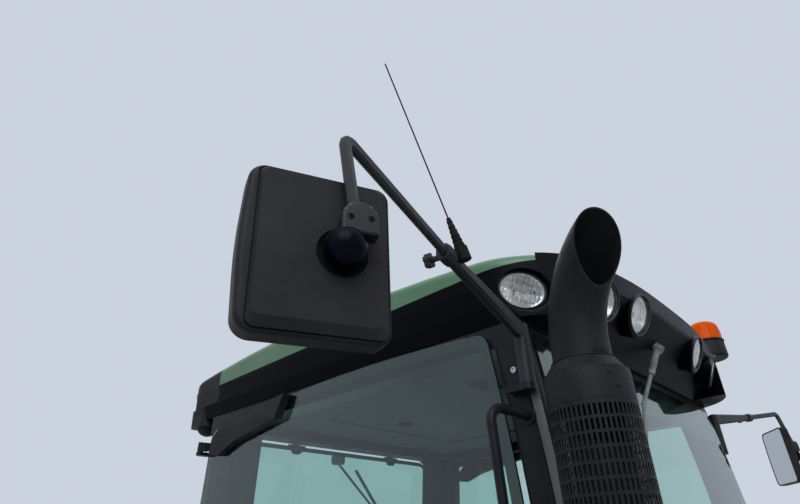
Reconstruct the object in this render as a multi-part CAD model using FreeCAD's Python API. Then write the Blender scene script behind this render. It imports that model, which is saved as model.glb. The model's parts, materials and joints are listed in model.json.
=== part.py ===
import FreeCAD, Part
import math
import os

# Cab of a farm tractor. Lengths are in millimetres and angles in degrees.
# X points forward, Y to the left, Z up. The origin is the centre of the four cab mounts, on their underside.

V = FreeCAD.Vector
os.makedirs("parts", exist_ok=True)

SIDES = (("left", 1), ("right", -1))
far = 3000.0      # further than any piece reaches

# Clearances
seat_gap = 0.3
door_gap = 8.0

# Side walls: the door panes lie outside the posts
glass = 6.0
pane_outer_y = 759.0
post_outer_y = pane_outer_y - glass - door_gap

# Front line: one large arc in side view, furthest forward at bulge_z
bulge_x = 753.5
bulge_z = 850.0
front_radius = 4896.0

# Rear line: leans back on its way down, and is upright below the knee
rear_ref_x = -742.0
rear_ref_z = 1541.0
rear_lean = 0.0933
rear_knee_z = 700.0

# Floor frame and its four mounts
mount_x = 560.0
mount_y = 480.0
mount_hole_r = 9.0
pad_r = 60.0
pad_height = 25.0
rail_width = 80.0
rail_top_z = 90.0
floor_top_z = 110.0
floor_half_width = 560.0
floor_corner = 20.0
pad_taper = 12.0
rail_x = (-700.0, 640.0)
sill_start_x = 60.0

# Wheel arch
arch_x = -850.0
arch_z = -170.0
arch_r = 930.0
arch_wall = 25.0
arch_side_wall = 15.0

# Posts, roof ring, headliner and sun blind
a_post_depth = 94.0
a_post_width = 80.0
a_post_round = 11.0
c_post_lap = 60.0
post_top_z = 1555.0
ring_top_z = 1615.0
ring_width = 80.0
ring_corner_r = 40.0
headliner_thickness = 18.0
headliner_dish = 8.0
headliner_dish_half = 430.0
headliner_dish_r = 60.0
speaker_place = (120.0, 540.0)
speaker_r = 68.0
speaker_depth = 7.0
blind_r = 25.0
blind_half_width = 260.0
blind_behind_glass = 30.0
blind_plate = 8.0

# Walls below the windows
front_wall = 30.0
front_wall_low_z = 255.0
front_wall_high_z = 615.0
hump_round = 45.0
rear_wall = 30.0
rear_wall_top_z = 745.0
bead_half_width = 430.0
bead_height = 60.0
bead_raise = 9.0
BEAD_Z = (280.0, 480.0)

# Roof
roof_bottom_z = 1750.0
roof_crown_z = 1872.0
roof_half_width = 775.0
roof_front_x = 843.0
roof_rear_x = -900.0
roof_front_bow = 40.0
roof_front_corner = 240.0
roof_rear_corner = 110.0
roof_edge_round = 30.0
roof_side_radius = 7000.0
roof_long_radius = 6200.0
roof_split_rise = 28.0
roof_split_drop = 34.0
lip_depth = 15.0
lip_end_x = 742.0
visor_fascia = 72.0
pod_rim = 8.0
pod_length = 150.0
corner_block_y = 560.0
corner_block_x = 600.0
skirt_inset = 9.0
skirt_front_x = 700.0
skirt_rear_x = -800.0
skirt_side_taper = 18.0
skirt_heel = 60.0
skirt_break = (90.0, 30.0)

# Lamps: centre of the lens, radius, pitch below level and turn outwards
lamp_r = 56.0
lamp_rim = 7.0
lamp_back_step = 14.0
lamp_back_run = 30.0
lens_dome = 6.0
lens_sphere_r = 270.0
lamp_depth = 88.0
lamp_hood = 6.0
lamp_lens = 7.0
lamp_pitch = 24.0
WORK_LAMPS = (           # behind the roof's front, y, below the roof's bottom edge, turn outwards
    (15.0, 267.0, 37.0, 4.0),
    (31.0, 491.0, 52.0, 14.0),
)
corner_lamp_turn = 50.0
corner_lamp_back = 22.0
corner_lamp_inset = 4.0
corner_lamp_below = 52.0
corner_lamp_pitch = 14.0
corner_lamp_roll = 16.0
corner_lamp_half_w = 60.0
corner_lamp_half_h = 46.0
corner_lamp_depth = 70.0
corner_lamp_taper = 20.0
corner_lamp_seat = 9.0
corner_lamp_rim = 5.0
rear_cap_front_x = -655.0
rear_cap_width = 128.0
rear_cap_bottom_z = 1662.0
rear_cap_round = 34.0
rear_cap_tail_x = -772.0
rear_cap_tail_z = 1594.0
rear_lamp_bulge_r = 46.0

# Beacon
beacon_x = 785.0
beacon_y = 690.0
beacon_base_r = 67.0
beacon_base_height = 72.0
beacon_base_top_z = 1862.0
beacon_dome_r = 63.0
beacon_dome_height = 90.0
beacon_base_round = 12.0
beacon_arm_reach = (200.0, 268.0)
beacon_arm_width = 48.0
beacon_arm_height = 38.0
beacon_arm_turn = 42.0

# Doors
door_bottom_z = 128.0
door_top_front_z = 1596.0
door_top_crown_z = 1606.0
door_top_rear_z = 1552.0
door_front_inset = 105.0
door_rear_inset = 50.0
door_arch_clearance = 5.0
door_corner_r = 42.0

# Door hinges: the axis leans with the rear line
hinge_inset = 28.0
hinge_y = 785.0
hinge_pin_r = 6.0
hinge_barrel_r = 11.0
hinge_barrel_length = 36.0
hinge_lug_height = 12.0
hinge_lug_r = 13.0
hinge_strap_length = 95.0
hinge_strap = 5.0
hinge_running_gap = 1.6
HINGE_Z = (905.0, 1478.0)

# Door hardware
handle_x = 560.0
handle_z = 930.0
handle_size = (60.0, 22.0, 150.0)
cover_depth = 26.0
cover_ridge = 9.0
COVER = (            # x, z
    (-664.0, 1462.0), (-640.0, 1512.0), (-560.0, 1570.0), (-212.0, 1600.0), (-252.0, 1526.0),
    (-500.0, 1486.0), (-600.0, 1452.0),
)
cover_slope_z = (1400.0, 1540.0, 1640.0)
latch_cup = (32.0, 70.0, 14.0)

# Rear window and its hinges
rear_window_half_width = 600.0
rear_window_bottom_z = 725.0
rear_window_top_z = 1548.0
rear_window_corner_r = 85.0
rear_hinge_z = 1573.0
rear_hinge_out = 6.0
rear_hinge_y = 305.0
rear_hinge_r = 10.0
rear_hinge_lug = 9.0
rear_plate = 6.7
rear_plate_z = (1518.0, 1556.0)
rear_plate_width = (36.0, 104.0)
rear_grip_up = 60.0
rear_grip_out = 32.0
rear_grip_half = 90.0
rear_grip_r = 9.0
rear_hinge_pin_r = 5.0
rear_hinge_length = 40.0

# Windscreen and its wiper
windscreen_half_width = 715.0
windscreen_bottom_z = 235.0
windscreen_top_z = 1585.0
windscreen_overlap = 20.0
wiper_spindle = (782.0, -20.0, 1678.0)
wiper_knee = (738.0, -150.0, 1483.0)
wiper_end = (760.0, -345.0, 1205.0)
wiper_blade_length = 620.0
wiper_boss_r = 16.0
wiper_arm_r = 6.5
wiper_sleeve_r = 11.0

# Rear wiper: y and z along the rear window
rear_spindle = (-46.0, 1518.0)
rear_arm_end = (322.0, 1232.0)
rear_blade_length = 700.0
rear_blade_slope = 45.0
rear_blade_off = 16.0
rear_arm_off = 32.0
rear_motor = (60.0, 44.0, 30.0)      # width, height, depth

# Grab handles on the front posts
grab_r = 11.0
grab_bend_r = 32.0
grab_out_y = 850.0
grab_foot_r = 19.0
grab_foot = 5.0
GRAB_PATH = ((674.0, 1375.0), (637.0, 1391.0), (664.0, 700.0), (690.0, 690.0))   # x, z

# Mirror hinge on the front post
mirror_x = 700.0
mirror_y = 774.0
mirror_ear_z = 1425.0
mirror_ear = 15.0
mirror_pin_r = 9.0
mirror_pin_top_z = 1558.0
mirror_barrel_r = 19.0
mirror_barrel_top_z = 1582.0
mirror_bore_clearance = 0.3
mirror_block_x = (642.0, 700.0)
mirror_block_z = (1425.0, 1524.0)
mirror_plate = 9.0

# Mirror arm and head
arm_root_z = 1566.0
arm_clamp = (765.0, 1136.0, 1612.0)
arm_elbow = (831.0, 1468.0, 1665.0)
ball_centre = (842.0, 1471.0, 1464.0)
arm_end_offset = (12.0, -3.5, 52.0)
arm_wide = 21.0
arm_thin = 15.0
arm_bend_r = 19.0
arm_root_wide = 44.0
arm_root_thin = 26.0
boss_offset = (15.0, -9.0, 38.0)
boss_half_width = 26.0
boss_half_height = 23.0
boss_thickness = 25.0
boss_yaw = 28.0
boss_screw_r = 5.0
ball_r = 30.0
knob_r = 15.0
knob_length = 34.0
knob_points = 5
collar_half = 16.0
collar_wide = 32.0
panel_width = 188.0
panel_height = 237.0
panel_raise = 6.0
panel_corner_r = 12.0
panel_groove = 2.0
panel_seam = 4.0
panel_bevel = 14.0
head_margin = 6.0
head_outer_margin = 13.0
head_outer_bow = 6.5
head_depth = 36.0
head_corner_r = 26.0
head_edge_r = 9.0
head_wall = 6.0
ball_in_head = (-25.0, -2.0, 20.0)     # outwards, up, out of the back
recess_r = 37.0
recess_depth = 19.0
HEAD_YAW = {"left": 34.0, "right": 23.5}

# Radio whip on the right-hand mirror arm
whip_base = (776.0, 1104.0, 1634.0)
whip_tip = (700.0, 1226.0, 2117.0)
whip_base_length = 72.0
whip_base_r = 11.0
whip_r = 1.6

# Exhaust stack at the right-hand front post
stack_x = 851.0
stack_y = -802.0
stack_r = 61.3
stack_wall = 3.0
stack_bottom_z = 400.0
stack_straight_z = 1478.0
stack_bend_r = 213.0
stack_bend = 66.0
stack_bend_turn = 61.4
stack_cut_drop = 17.0
flange_r = 95.0
flange_thickness = 12.0
flange_pcd = 160.0
flange_hole_r = 5.5
guard_r = 88.0
guard_wall = 3.0
guard_bottom_z = 520.0
guard_band_z = 1350.0
guard_top_z = 1418.0
guard_neck_z = 1446.0
guard_columns = 24
guard_rows = 6
guard_slot_width = 11.0
guard_slot_gap = 26.0
bracket_height = 34.0
bracket_strap = 4.0
bracket_plate = 12.0
bracket_foot = 80.0
BRACKET_Z = (600.0, 1085.0)

# Seat, consoles and steering wheel
seat_width = 480.0
seat_x = -130.0
seat_top_z = 500.0
seat_cushion = 110.0
seat_length = 480.0
seat_back_height = 620.0
seat_back_thickness = 120.0
seat_back_lean = 12.0
seat_back_x = 95.0
seat_back_up = 8.0
seat_base = (370.0, 340.0, 30.0)
seat_tray = (410.0, 400.0, 30.0)
bellows_r = (142.0, 165.0)
bellows_folds = 5
seat_plate_back = 12.0
seat_plate_corner_r = 28.0
cushion_corner_r = 70.0
cushion_round = 28.0
seat_back_corner_r = 80.0
seat_back_round = 24.0
console_y = (-520.0, -300.0)
console_round = 22.0
CONSOLE = (            # x, z
    (-330.0, floor_top_z), (240.0, floor_top_z), (300.0, 430.0), (255.0, 600.0), (-120.0, 690.0),
    (-330.0, 690.0),
)
dash_half_width = 190.0
dash_round = 24.0
DASH = (            # x, z
    (660.0, floor_top_z), (500.0, floor_top_z), (440.0, 640.0), (425.0, 840.0), (520.0, 960.0),
    (655.0, 930.0),
)
column_base = (470.0, 0.0, 830.0)
column_tilt = 32.0
column_length = 200.0
column_r = 30.0
column_foot_r = 52.0
wheel_r = 200.0
wheel_rim_r = 14.0
wheel_hub_r = 42.0
wheel_hub_height = 38.0
wheel_shaft_r = 10.0
wheel_shaft_fit = 0.05
spoke_width = 34.0
spoke_thickness = 14.0


def xz(x, z):
    return V(x, 0, z)


def yz(y, z):
    return V(0, y, z)


def face(*steps):
    """Flat face inside corner points; a pair (through, end) draws an arc instead of a line."""
    here = steps[0]
    edges = []
    for step in steps[1:] + (steps[0],):
        if isinstance(step, tuple):
            through, end = step
            edges.append(Part.Arc(here, through, end).toShape())
        else:
            end = step
            edges.append(Part.LineSegment(here, end).toShape())
        here = end
    return Part.Face(Part.Wire(edges))


def rounded_face(corners):
    """Flat face whose corners are (point, radius)."""
    edges = []
    ends = []
    count = len(corners)
    for i, (point, radius) in enumerate(corners):
        before = (corners[i - 1][0] - point).normalize()
        after = (corners[(i + 1) % count][0] - point).normalize()
        half = before.getAngle(after) / 2
        reach = radius / math.tan(half)
        middle = (before + after).normalize()
        through = point + middle * (radius / math.sin(half) - radius)
        ends.append((point + before * reach, through, point + after * reach))
    for i, (start, through, end) in enumerate(ends):
        edges.append(Part.Arc(start, through, end).toShape())
        edges.append(Part.LineSegment(end, ends[(i + 1) % count][0]).toShape())
    return Part.Face(Part.Wire(edges))


def box(x, y, z):
    """Box between two values on each axis."""
    return Part.makeBox(x[1] - x[0], y[1] - y[0], z[1] - z[0], V(x[0], y[0], z[0]))


def rounded_box(x, y, z, axis, radius):
    """Box whose four edges along an axis are rounded."""
    block = box(x, y, z)
    return block.makeFillet(radius, edges_along(block, axis))


def along(shape, axis, low, high):
    """Extrude a face that lies on the plane through the origin from low to high along an axis."""
    moved = shape.copy()
    moved.translate(axis * low)
    return moved.extrude(axis * (high - low))


def rod(start, end, radius):
    direction = end - start
    return Part.makeCylinder(radius, direction.Length, start, direction)


def path(points, radius):
    """Straight runs joined by arcs that touch them, through the given corners."""
    edges = []
    here = points[0]
    for before, corner, after in zip(points, points[1:], points[2:]):
        back = (before - corner).normalize()
        on = (after - corner).normalize()
        half = back.getAngle(on) / 2
        reach = radius / math.tan(half)
        through = corner + (back + on).normalize() * (radius / math.sin(half) - radius)
        edges.append(Part.LineSegment(here, corner + back * reach).toShape())
        edges.append(Part.Arc(corner + back * reach, through, corner + on * reach).toShape())
        here = corner + on * reach
    edges.append(Part.LineSegment(here, points[-1]).toShape())
    return Part.Wire(edges)


def tube(points, radius, bend_r):
    """Round bar along a bent path."""
    start = Part.Wire(Part.makeCircle(radius, points[0], points[1] - points[0]))
    return path(points, bend_r).makePipeShell([start], True, False)


def frame_at(origin, normal, up=V(0, 0, 1)):
    """Placement whose Z is the normal, whose Y is as near to up as it can be."""
    z = V(normal).normalize()
    x = up.cross(z).normalize()
    y = z.cross(x)
    return FreeCAD.Placement(V(origin), FreeCAD.Rotation(x, y, z, "ZXY"))


def placed(shape, placement):
    moved = shape.copy()
    moved.Placement = placement.multiply(moved.Placement)
    return moved


def mirrored(shape, sign):
    """The shape as built for the left side, or its mirror image for the right."""
    return shape if sign > 0 else shape.mirror(V(0, 0, 0), V(0, 1, 0))


def edges_along(shape, direction, least=0.0):
    """Straight edges that run along a direction."""
    found = []
    for edge in shape.Edges:
        run = edge.Vertexes[-1].Point - edge.Vertexes[0].Point
        if run.Length > least and run.cross(direction).Length < 1e-4 * run.Length:
            found.append(edge)
    return found


def fuse(first, *others):
    return first.fuse(list(others)).removeSplitter()


X = V(1, 0, 0)
Y = V(0, 1, 0)
Z = V(0, 0, 1)
front_centre_x = bulge_x - front_radius
lean_direction = V(rear_lean, 0, 1).normalize()
c_post_bottom_z = arch_z + arch_r - c_post_lap
nodes = {}


def front_x(z, inset=0.0):
    return front_centre_x + math.sqrt((front_radius - inset) ** 2 - (z - bulge_z) ** 2)


def rear_x(z):
    return rear_ref_x - rear_lean * (rear_ref_z - max(z, rear_knee_z))


def front_point(z, inset=0.0):
    return xz(front_x(z, inset), z)


def front_strip(inset, depth, low_z, high_z, half_width):
    """Slab behind the front line, extruded across the cab."""
    mid_z = (low_z + high_z) / 2
    outline = face(front_point(low_z, inset), (front_point(mid_z, inset), front_point(high_z, inset)),
                   front_point(high_z, inset + depth),
                   (front_point(mid_z, inset + depth), front_point(low_z, inset + depth)))
    return along(outline, Y, -half_width, half_width)


def envelope(front_inset, rear_inset, low_z=0.0, high_z=1700.0):
    """Everything between the front line and the rear line."""
    mid_z = (low_z + high_z) / 2
    outline = face(front_point(low_z, front_inset),
                   (front_point(mid_z, front_inset), front_point(high_z, front_inset)),
                   xz(rear_x(high_z) + rear_inset, high_z),
                   xz(rear_x(rear_knee_z) + rear_inset, rear_knee_z),
                   xz(rear_x(rear_knee_z) + rear_inset, low_z))
    return along(outline, Y, -1000, 1000)


# Floor frame: pan, two rails, two cross members and the four mount pads
front_seat = glass + seat_gap
rear_seat = glass + door_gap
pan_front_x = front_x(floor_top_z) - 1
pan_rear_x = rear_x(0)
pan = [(pan_front_x, post_outer_y - floor_corner), (pan_front_x - floor_corner, post_outer_y),
       (sill_start_x, post_outer_y), (sill_start_x, floor_half_width), (pan_rear_x, floor_half_width)]
pan_outline = pan + [(x, -y) for x, y in reversed(pan)]
floor = along(face(*[V(x, y, 0) for x, y in pan_outline]), Z, rail_top_z, floor_top_z)
floor_pieces = []
for sign in (1, -1):
    rail_y = sorted((sign * (mount_y - rail_width / 2), sign * (mount_y + rail_width / 2)))
    floor_pieces.append(box(rail_x, rail_y, (pad_height, rail_top_z)))
for x in (mount_x, -mount_x):
    floor_pieces.append(box((x - rail_width / 2, x + rail_width / 2),
                            (rail_width / 2 - mount_y, mount_y - rail_width / 2), (pad_height, rail_top_z)))
    for y in (mount_y, -mount_y):
        floor_pieces.append(Part.makeCone(pad_r, pad_r - pad_taper, pad_height, V(x, y, 0)))
floor = fuse(floor, *floor_pieces)
for x in (mount_x, -mount_x):
    for y in (mount_y, -mount_y):
        floor = floor.cut(Part.makeCylinder(mount_hole_r, floor_top_z, V(x, y, 0)))
nodes["floor_frame"] = floor

# Front wall, with the hump that the bonnet meets
HUMP = ((440.0, front_wall_low_z), (360.0, front_wall_high_z))     # y, z


def front_hump(shrink, bottom_z, sides):
    """Block with the front wall's outline seen from ahead, drawn in by shrink."""
    half = [(sides, bottom_z), (sides, front_wall_low_z - shrink)]
    half += [(y - shrink, z - shrink) for y, z in HUMP]
    points = half + [(-y, z) for y, z in reversed(half)]
    block = along(face(*[yz(y, z) for y, z in points]), X, 500, 900)
    inner = [e for e in edges_along(block, X) if abs(e.CenterOfMass.y) < sides - 1]
    return block.makeFillet(hump_round, inner)


front_wall_sides = post_outer_y - a_post_width - seat_gap
wall = front_strip(front_seat, front_wall, floor_top_z, front_wall_high_z + 20, post_outer_y)
nodes["front_wall"] = wall.common(front_hump(0, floor_top_z - 10, front_wall_sides))

# Rear wall with two pressed beads
wall_back = rear_x(0) + rear_seat
rear_panel = envelope(front_seat, rear_seat).cut(envelope(front_seat, rear_seat + rear_wall))
rear_panel = rear_panel.common(box((-1000, 0), (-floor_half_width + seat_gap, floor_half_width - seat_gap),
                                   (floor_top_z, rear_wall_top_z)))
for z in BEAD_Z:
    bead_back = wall_back - bead_raise
    bead = box((bead_back, wall_back + 2), (-bead_half_width, bead_half_width), (z, z + bead_height))
    bead = bead.makeFillet(bead_raise - 1, [e for e in bead.Edges if e.CenterOfMass.x < bead_back + 1])
    rear_panel = fuse(rear_panel, bead)
nodes["rear_wall"] = rear_panel

# Wheel arches: the arched skin and the wall inboard of the wheel
arch_solid = Part.makeCylinder(arch_r, 2000, V(arch_x, -1000, arch_z), Y)
arch_inner = Part.makeCylinder(arch_r - arch_wall, 2000, V(arch_x, -1000, arch_z), Y)
arch_zone = envelope(front_seat, rear_seat, floor_top_z, 1000).common(
    box((-1000, sill_start_x), (floor_half_width, post_outer_y), (rail_top_z, 1000)))
for side, sign in SIDES:
    skin = arch_zone.common(arch_solid).cut(arch_inner)
    inboard = arch_zone.common(arch_solid).common(
        box((-1000, sill_start_x), (floor_half_width, floor_half_width + arch_side_wall), (rail_top_z, 1000)))
    nodes["wheel_arch_" + side] = mirrored(fuse(skin, inboard), sign)

# Front posts
for side, sign in SIDES:
    post = front_strip(front_seat, a_post_depth, floor_top_z, post_top_z, post_outer_y)
    post = post.common(box((0, 1000), (post_outer_y - a_post_width, post_outer_y), (0, 2000)))
    long_edges = [e for e in post.Edges if e.Length > 1000]
    post = post.makeFillet(a_post_round, long_edges)
    nodes["front_post_" + side] = mirrored(post, sign)


def hinge_at(z):
    """Point on a door's hinge axis."""
    return V(rear_x(z) + hinge_inset, hinge_y, z)


# Rear corner posts, with the lower half of each door hinge
C_POST = (            # distance ahead of the rear line, y
    (rear_seat, 545.0), (rear_seat, post_outer_y - 12), (rear_seat + 12, post_outer_y), (112.0, post_outer_y),
    (112.0, 700.0), (78.0, 672.0), (78.0, 545.0),
)
for side, sign in SIDES:
    section = face(*[V(rear_x(c_post_bottom_z) + x, y, c_post_bottom_z) for x, y in C_POST])
    post_height = post_top_z - c_post_bottom_z
    post = section.extrude(V(rear_lean * post_height, 0, post_height))
    post = post.cut(Part.makeCylinder(arch_r + seat_gap, 2000, V(arch_x, -1000, arch_z), Y))
    post = post.cut(box((-1000, 0), (0, floor_half_width), (0, rear_wall_top_z + seat_gap)))
    for z in HINGE_Z:
        lug_low = hinge_at(z) - lean_direction * hinge_lug_height
        lug_x = (lug_low.x - hinge_lug_r, lug_low.x + hinge_lug_r)
        lug_end = rod(lug_low, hinge_at(z), hinge_lug_r).common(box((-far, 0), (0, far), (lug_low.z, z)))
        lug = fuse(box(lug_x, (post_outer_y - 15, hinge_y), (lug_low.z, z)), lug_end)
        pin = rod(lug_low, hinge_at(z) + lean_direction * hinge_barrel_length, hinge_pin_r)
        post = fuse(post, lug, pin.common(box((-far, 0), (0, far), (lug_low.z, far))))
    nodes["rear_post_" + side] = mirrored(post, sign)

# Roof ring on top of the posts, with the lugs of the rear window
ring = box((-far, far), (-post_outer_y, post_outer_y), (post_top_z, ring_top_z))
ring = ring.common(envelope(front_seat, rear_seat))
ring_front_x = front_x(ring_top_z, front_seat) - ring_width
ring_rear_x = rear_x(post_top_z) + rear_seat + ring_width
ring_inner_y = post_outer_y - ring_width
ring = ring.cut(rounded_box((ring_rear_x, ring_front_x), (-ring_inner_y, ring_inner_y),
                            (post_top_z, ring_top_z), Z, ring_corner_r))
rear_axis = V(rear_x(rear_hinge_z) - rear_hinge_out, 0, rear_hinge_z)
for y in (rear_hinge_y, -rear_hinge_y):
    for sign in (1, -1):
        near = y + sign * (rear_hinge_length / 2 + seat_gap)
        lug_y = sorted((near, near + sign * rear_hinge_lug))
        lug = box((rear_axis.x, rear_x(rear_hinge_z) + rear_seat + 4), lug_y,
                  (rear_hinge_z - rear_hinge_r, rear_hinge_z + rear_hinge_r))
        knuckle = Part.makeCylinder(rear_hinge_r, rear_hinge_lug, V(rear_axis.x, lug_y[0], rear_hinge_z), Y)
        ring = fuse(ring, lug, knuckle)
    ring = fuse(ring, Part.makeCylinder(rear_hinge_pin_r, rear_hinge_length + 10,
                                        V(rear_axis.x, y - rear_hinge_length / 2 - 5, rear_hinge_z), Y))
nodes["roof_ring"] = ring

# Headliner: a panel in the ring with a shallow dished field and two round speaker grilles
liner_x = (ring_rear_x + seat_gap, ring_front_x - seat_gap)
liner_y = ring_inner_y - seat_gap
liner_z = ring_top_z - headliner_thickness
liner = rounded_box(liner_x, (-liner_y, liner_y), (liner_z, ring_top_z), Z, ring_corner_r - seat_gap)
dish = (-headliner_dish_half, headliner_dish_half)
liner = liner.cut(rounded_box(dish, dish, (liner_z, liner_z + headliner_dish), Z, headliner_dish_r))
for sign in (1, -1):
    speaker = V(speaker_place[0], sign * speaker_place[1], liner_z - speaker_depth)
    liner = fuse(liner, Part.makeCone(speaker_r, speaker_r + speaker_depth, speaker_depth, speaker))
nodes["headliner"] = liner

# Rolled sun blind behind the top of the windscreen, hung on two straps from the ring
blind_z = post_top_z - blind_r + 5
blind_x = front_x(blind_z, front_seat) - blind_behind_glass - blind_r
blind = Part.makeCylinder(blind_r, 2 * blind_half_width, V(blind_x, -blind_half_width, blind_z), Y)
for y in (-blind_half_width, blind_half_width):
    plate_y = (y - blind_plate / 2, y + blind_plate / 2)
    reach = blind_r + blind_plate / 2
    end_plate = rounded_box((blind_x - reach, blind_x + reach), plate_y, (blind_z - reach, blind_z + reach),
                            Y, blind_r / 2)
    strap = box((blind_x - blind_r / 2, blind_x + blind_r / 2), plate_y, (blind_z, post_top_z - seat_gap))
    blind = blind.fuse([end_plate, strap])
blind = blind.cut(box((-far, far), (-far, far), (post_top_z - seat_gap, far)))
nodes["sun_blind"] = blind.removeSplitter()


def roof_outline(inset):
    """Plan of the roof: square at the rear, bowed at the front."""
    half = roof_half_width - inset
    corners = [(roof_rear_x + inset, half, roof_rear_corner),
               (roof_front_x - roof_front_bow - inset, half, roof_front_corner),
               (roof_front_x - inset, half / 3, 2500)]
    points = [(V(x, y, 0), r) for x, y, r in corners]
    return rounded_face(points + [(V(x, -y, 0), r) for x, y, r in reversed(corners)])


# Roof: the plan outline under a surface that is crowned both ways
crown_centre_z = roof_crown_z - roof_long_radius
crown_section = face(yz(-1000, ring_top_z - 200), yz(1000, ring_top_z - 200),
                     yz(1000, roof_crown_z - 1000 ** 2 / (2 * roof_side_radius)),
                     (yz(0, roof_crown_z), yz(-1000, roof_crown_z - 1000 ** 2 / (2 * roof_side_radius))))
crown_section.rotate(V(0, 0, crown_centre_z), Y, -12)
crown = crown_section.revolve(V(0, 0, crown_centre_z), Y, 24)
roof_body = along(roof_outline(0), Z, ring_top_z, roof_crown_z + 50).common(crown)
rim_edges = [e for e in roof_body.Edges if e.BoundBox.ZMin > ring_top_z + 1]
roof_body = roof_body.makeFillet(roof_edge_round, rim_edges)


def split_above(gap):
    """Everything above the line where the green shell meets the black skirt, which climbs to the front."""
    start = xz(0.55 * roof_front_x, roof_bottom_z + 5 + gap)
    through = xz(0.80 * roof_front_x, roof_bottom_z + 5 + 0.3 * roof_split_rise + gap)
    end = xz(1.02 * roof_front_x, roof_bottom_z + 5 + roof_split_rise + gap)
    side = face(xz(roof_rear_x - 50, roof_bottom_z - roof_split_drop + gap), start, (through, end),
                xz(1.02 * roof_front_x, far), xz(roof_rear_x - 50, far))
    return along(side, Y, -far, far)


# Green shell, drawn back behind the black lip at the front
behind_lip = along(roof_outline(lip_depth), Z, 0, far).fuse(box((-far, lip_end_x), (-far, far), (0, far)))
shell = roof_body.common(split_above(seat_gap / 2)).common(behind_lip)

# Black lower roof: skirt, visor that slopes back under a short fascia, and the lip along its top
visor_knee_z = roof_crown_z - roof_front_x ** 2 / (2 * roof_long_radius) - visor_fascia
side_view = face(xz(skirt_rear_x, ring_top_z + seat_gap), xz(skirt_front_x, ring_top_z + seat_gap),
                 xz(roof_front_x - 4, visor_knee_z), xz(roof_front_x, visor_knee_z + 10),
                 xz(roof_front_x, far), xz(roof_rear_x + skirt_inset, far),
                 xz(roof_rear_x + skirt_inset, roof_bottom_z - skirt_heel))
skirt_side = [(roof_half_width - skirt_inset - skirt_side_taper, ring_top_z),
              (roof_half_width - skirt_inset, roof_bottom_z - skirt_break[0]),
              (roof_half_width, roof_bottom_z - skirt_break[1]), (roof_half_width, far)]
front_view = face(*[yz(y, z) for y, z in skirt_side + [(-y, z) for y, z in reversed(skirt_side)]])
tapered = along(roof_outline(0), Z, ring_top_z + seat_gap, roof_crown_z + 50)
tapered = tapered.common(along(front_view, X, -far, far))
skirt = tapered.common(along(side_view, Y, -far, far))
corner_blocks = box((corner_block_x, far), (-far, far), (0, far)).cut(
    box((0, far), (-corner_block_y, corner_block_y), (0, far)))
skirt = skirt.fuse(tapered.common(corner_blocks))


def lamp_frame(x, y, z, pitch, turn, sign):
    """Frame of a lamp whose Z looks out of the lens."""
    level = math.cos(math.radians(pitch))
    direction = V(level * math.cos(math.radians(turn)), sign * level * math.sin(math.radians(turn)),
                  -math.sin(math.radians(pitch)))
    return frame_at(V(x, sign * y, z), direction)


def turned(points):
    """Solid of revolution about Z from (radius, z) points."""
    outline = face(*[xz(r, z) for r, z in points])
    return outline.revolve(V(0, 0, 0), Z, 360)


# Work lamps: cups set into the visor, and their domed lenses
cup = turned([(0, -lamp_depth), (lamp_r - lamp_back_step, -lamp_depth),
              (lamp_r + lamp_rim, -lamp_depth + lamp_back_run),
              (lamp_r + lamp_rim, lamp_hood), (lamp_r + 2, lamp_hood), (lamp_r + 2, -lamp_lens - seat_gap),
              (0, -lamp_lens - seat_gap)])
lens = Part.makeCylinder(lamp_r + 2 - seat_gap, lamp_lens + lens_dome, V(0, 0, -lamp_lens)).common(
    Part.makeSphere(lens_sphere_r, V(0, 0, lens_dome - lens_sphere_r)))
cup_space = [(0, -lamp_depth - seat_gap), (lamp_r - lamp_back_step + seat_gap, -lamp_depth - seat_gap),
             (lamp_r + lamp_rim + seat_gap, -lamp_depth + lamp_back_run),
             (lamp_r + lamp_rim + seat_gap, lamp_hood + 1)]
cup_room = turned(cup_space + [(0, lamp_hood + 1)])
lamp_room = turned(cup_space + [(lamp_r + lamp_rim + 30, 2 * lamp_depth), (0, 2 * lamp_depth)])
pod = Part.makeCylinder(lamp_r + lamp_rim + pod_rim, pod_length, V(0, 0, 2 - pod_length))
for back, y, below, turn in WORK_LAMPS:
    for side, sign in SIDES:
        there = lamp_frame(roof_front_x - back, y, roof_bottom_z - below, lamp_pitch, turn, sign)
        skirt = skirt.fuse(placed(pod, there).common(tapered))
lip = tapered.common(crown).cut(along(roof_outline(lip_depth - seat_gap), Z, 0, far))
lip = lip.common(box((lip_end_x + seat_gap, far), (-far, far), (0, far))).common(split_above(-1))
skirt = skirt.cut(split_above(-seat_gap / 2)).fuse(lip).removeSplitter()
cups = []
lenses = []
for back, y, below, turn in WORK_LAMPS:
    for side, sign in SIDES:
        there = lamp_frame(roof_front_x - back, y, roof_bottom_z - below, lamp_pitch, turn, sign)
        cups.append(placed(cup, there))
        lenses.append(placed(lens, there))
        skirt = skirt.cut(placed(lamp_room, there))
        shell = shell.cut(placed(cup_room, there))
nodes["work_lamps"] = Part.makeCompound(cups)
nodes["work_lamp_lenses"] = Part.makeCompound(lenses)


def oval(grow, z):
    """Oval wire of the corner lamp, grown by a distance, at a height."""
    ring_edge = Part.Ellipse(V(0, 0, z), corner_lamp_half_w + grow, corner_lamp_half_h + grow).toShape()
    return Part.Wire(ring_edge)


def oval_cone(back_grow, back_z, front_grow, front_z):
    return Part.makeLoft([oval(back_grow, back_z), oval(front_grow, front_z)], True, True)


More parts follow.
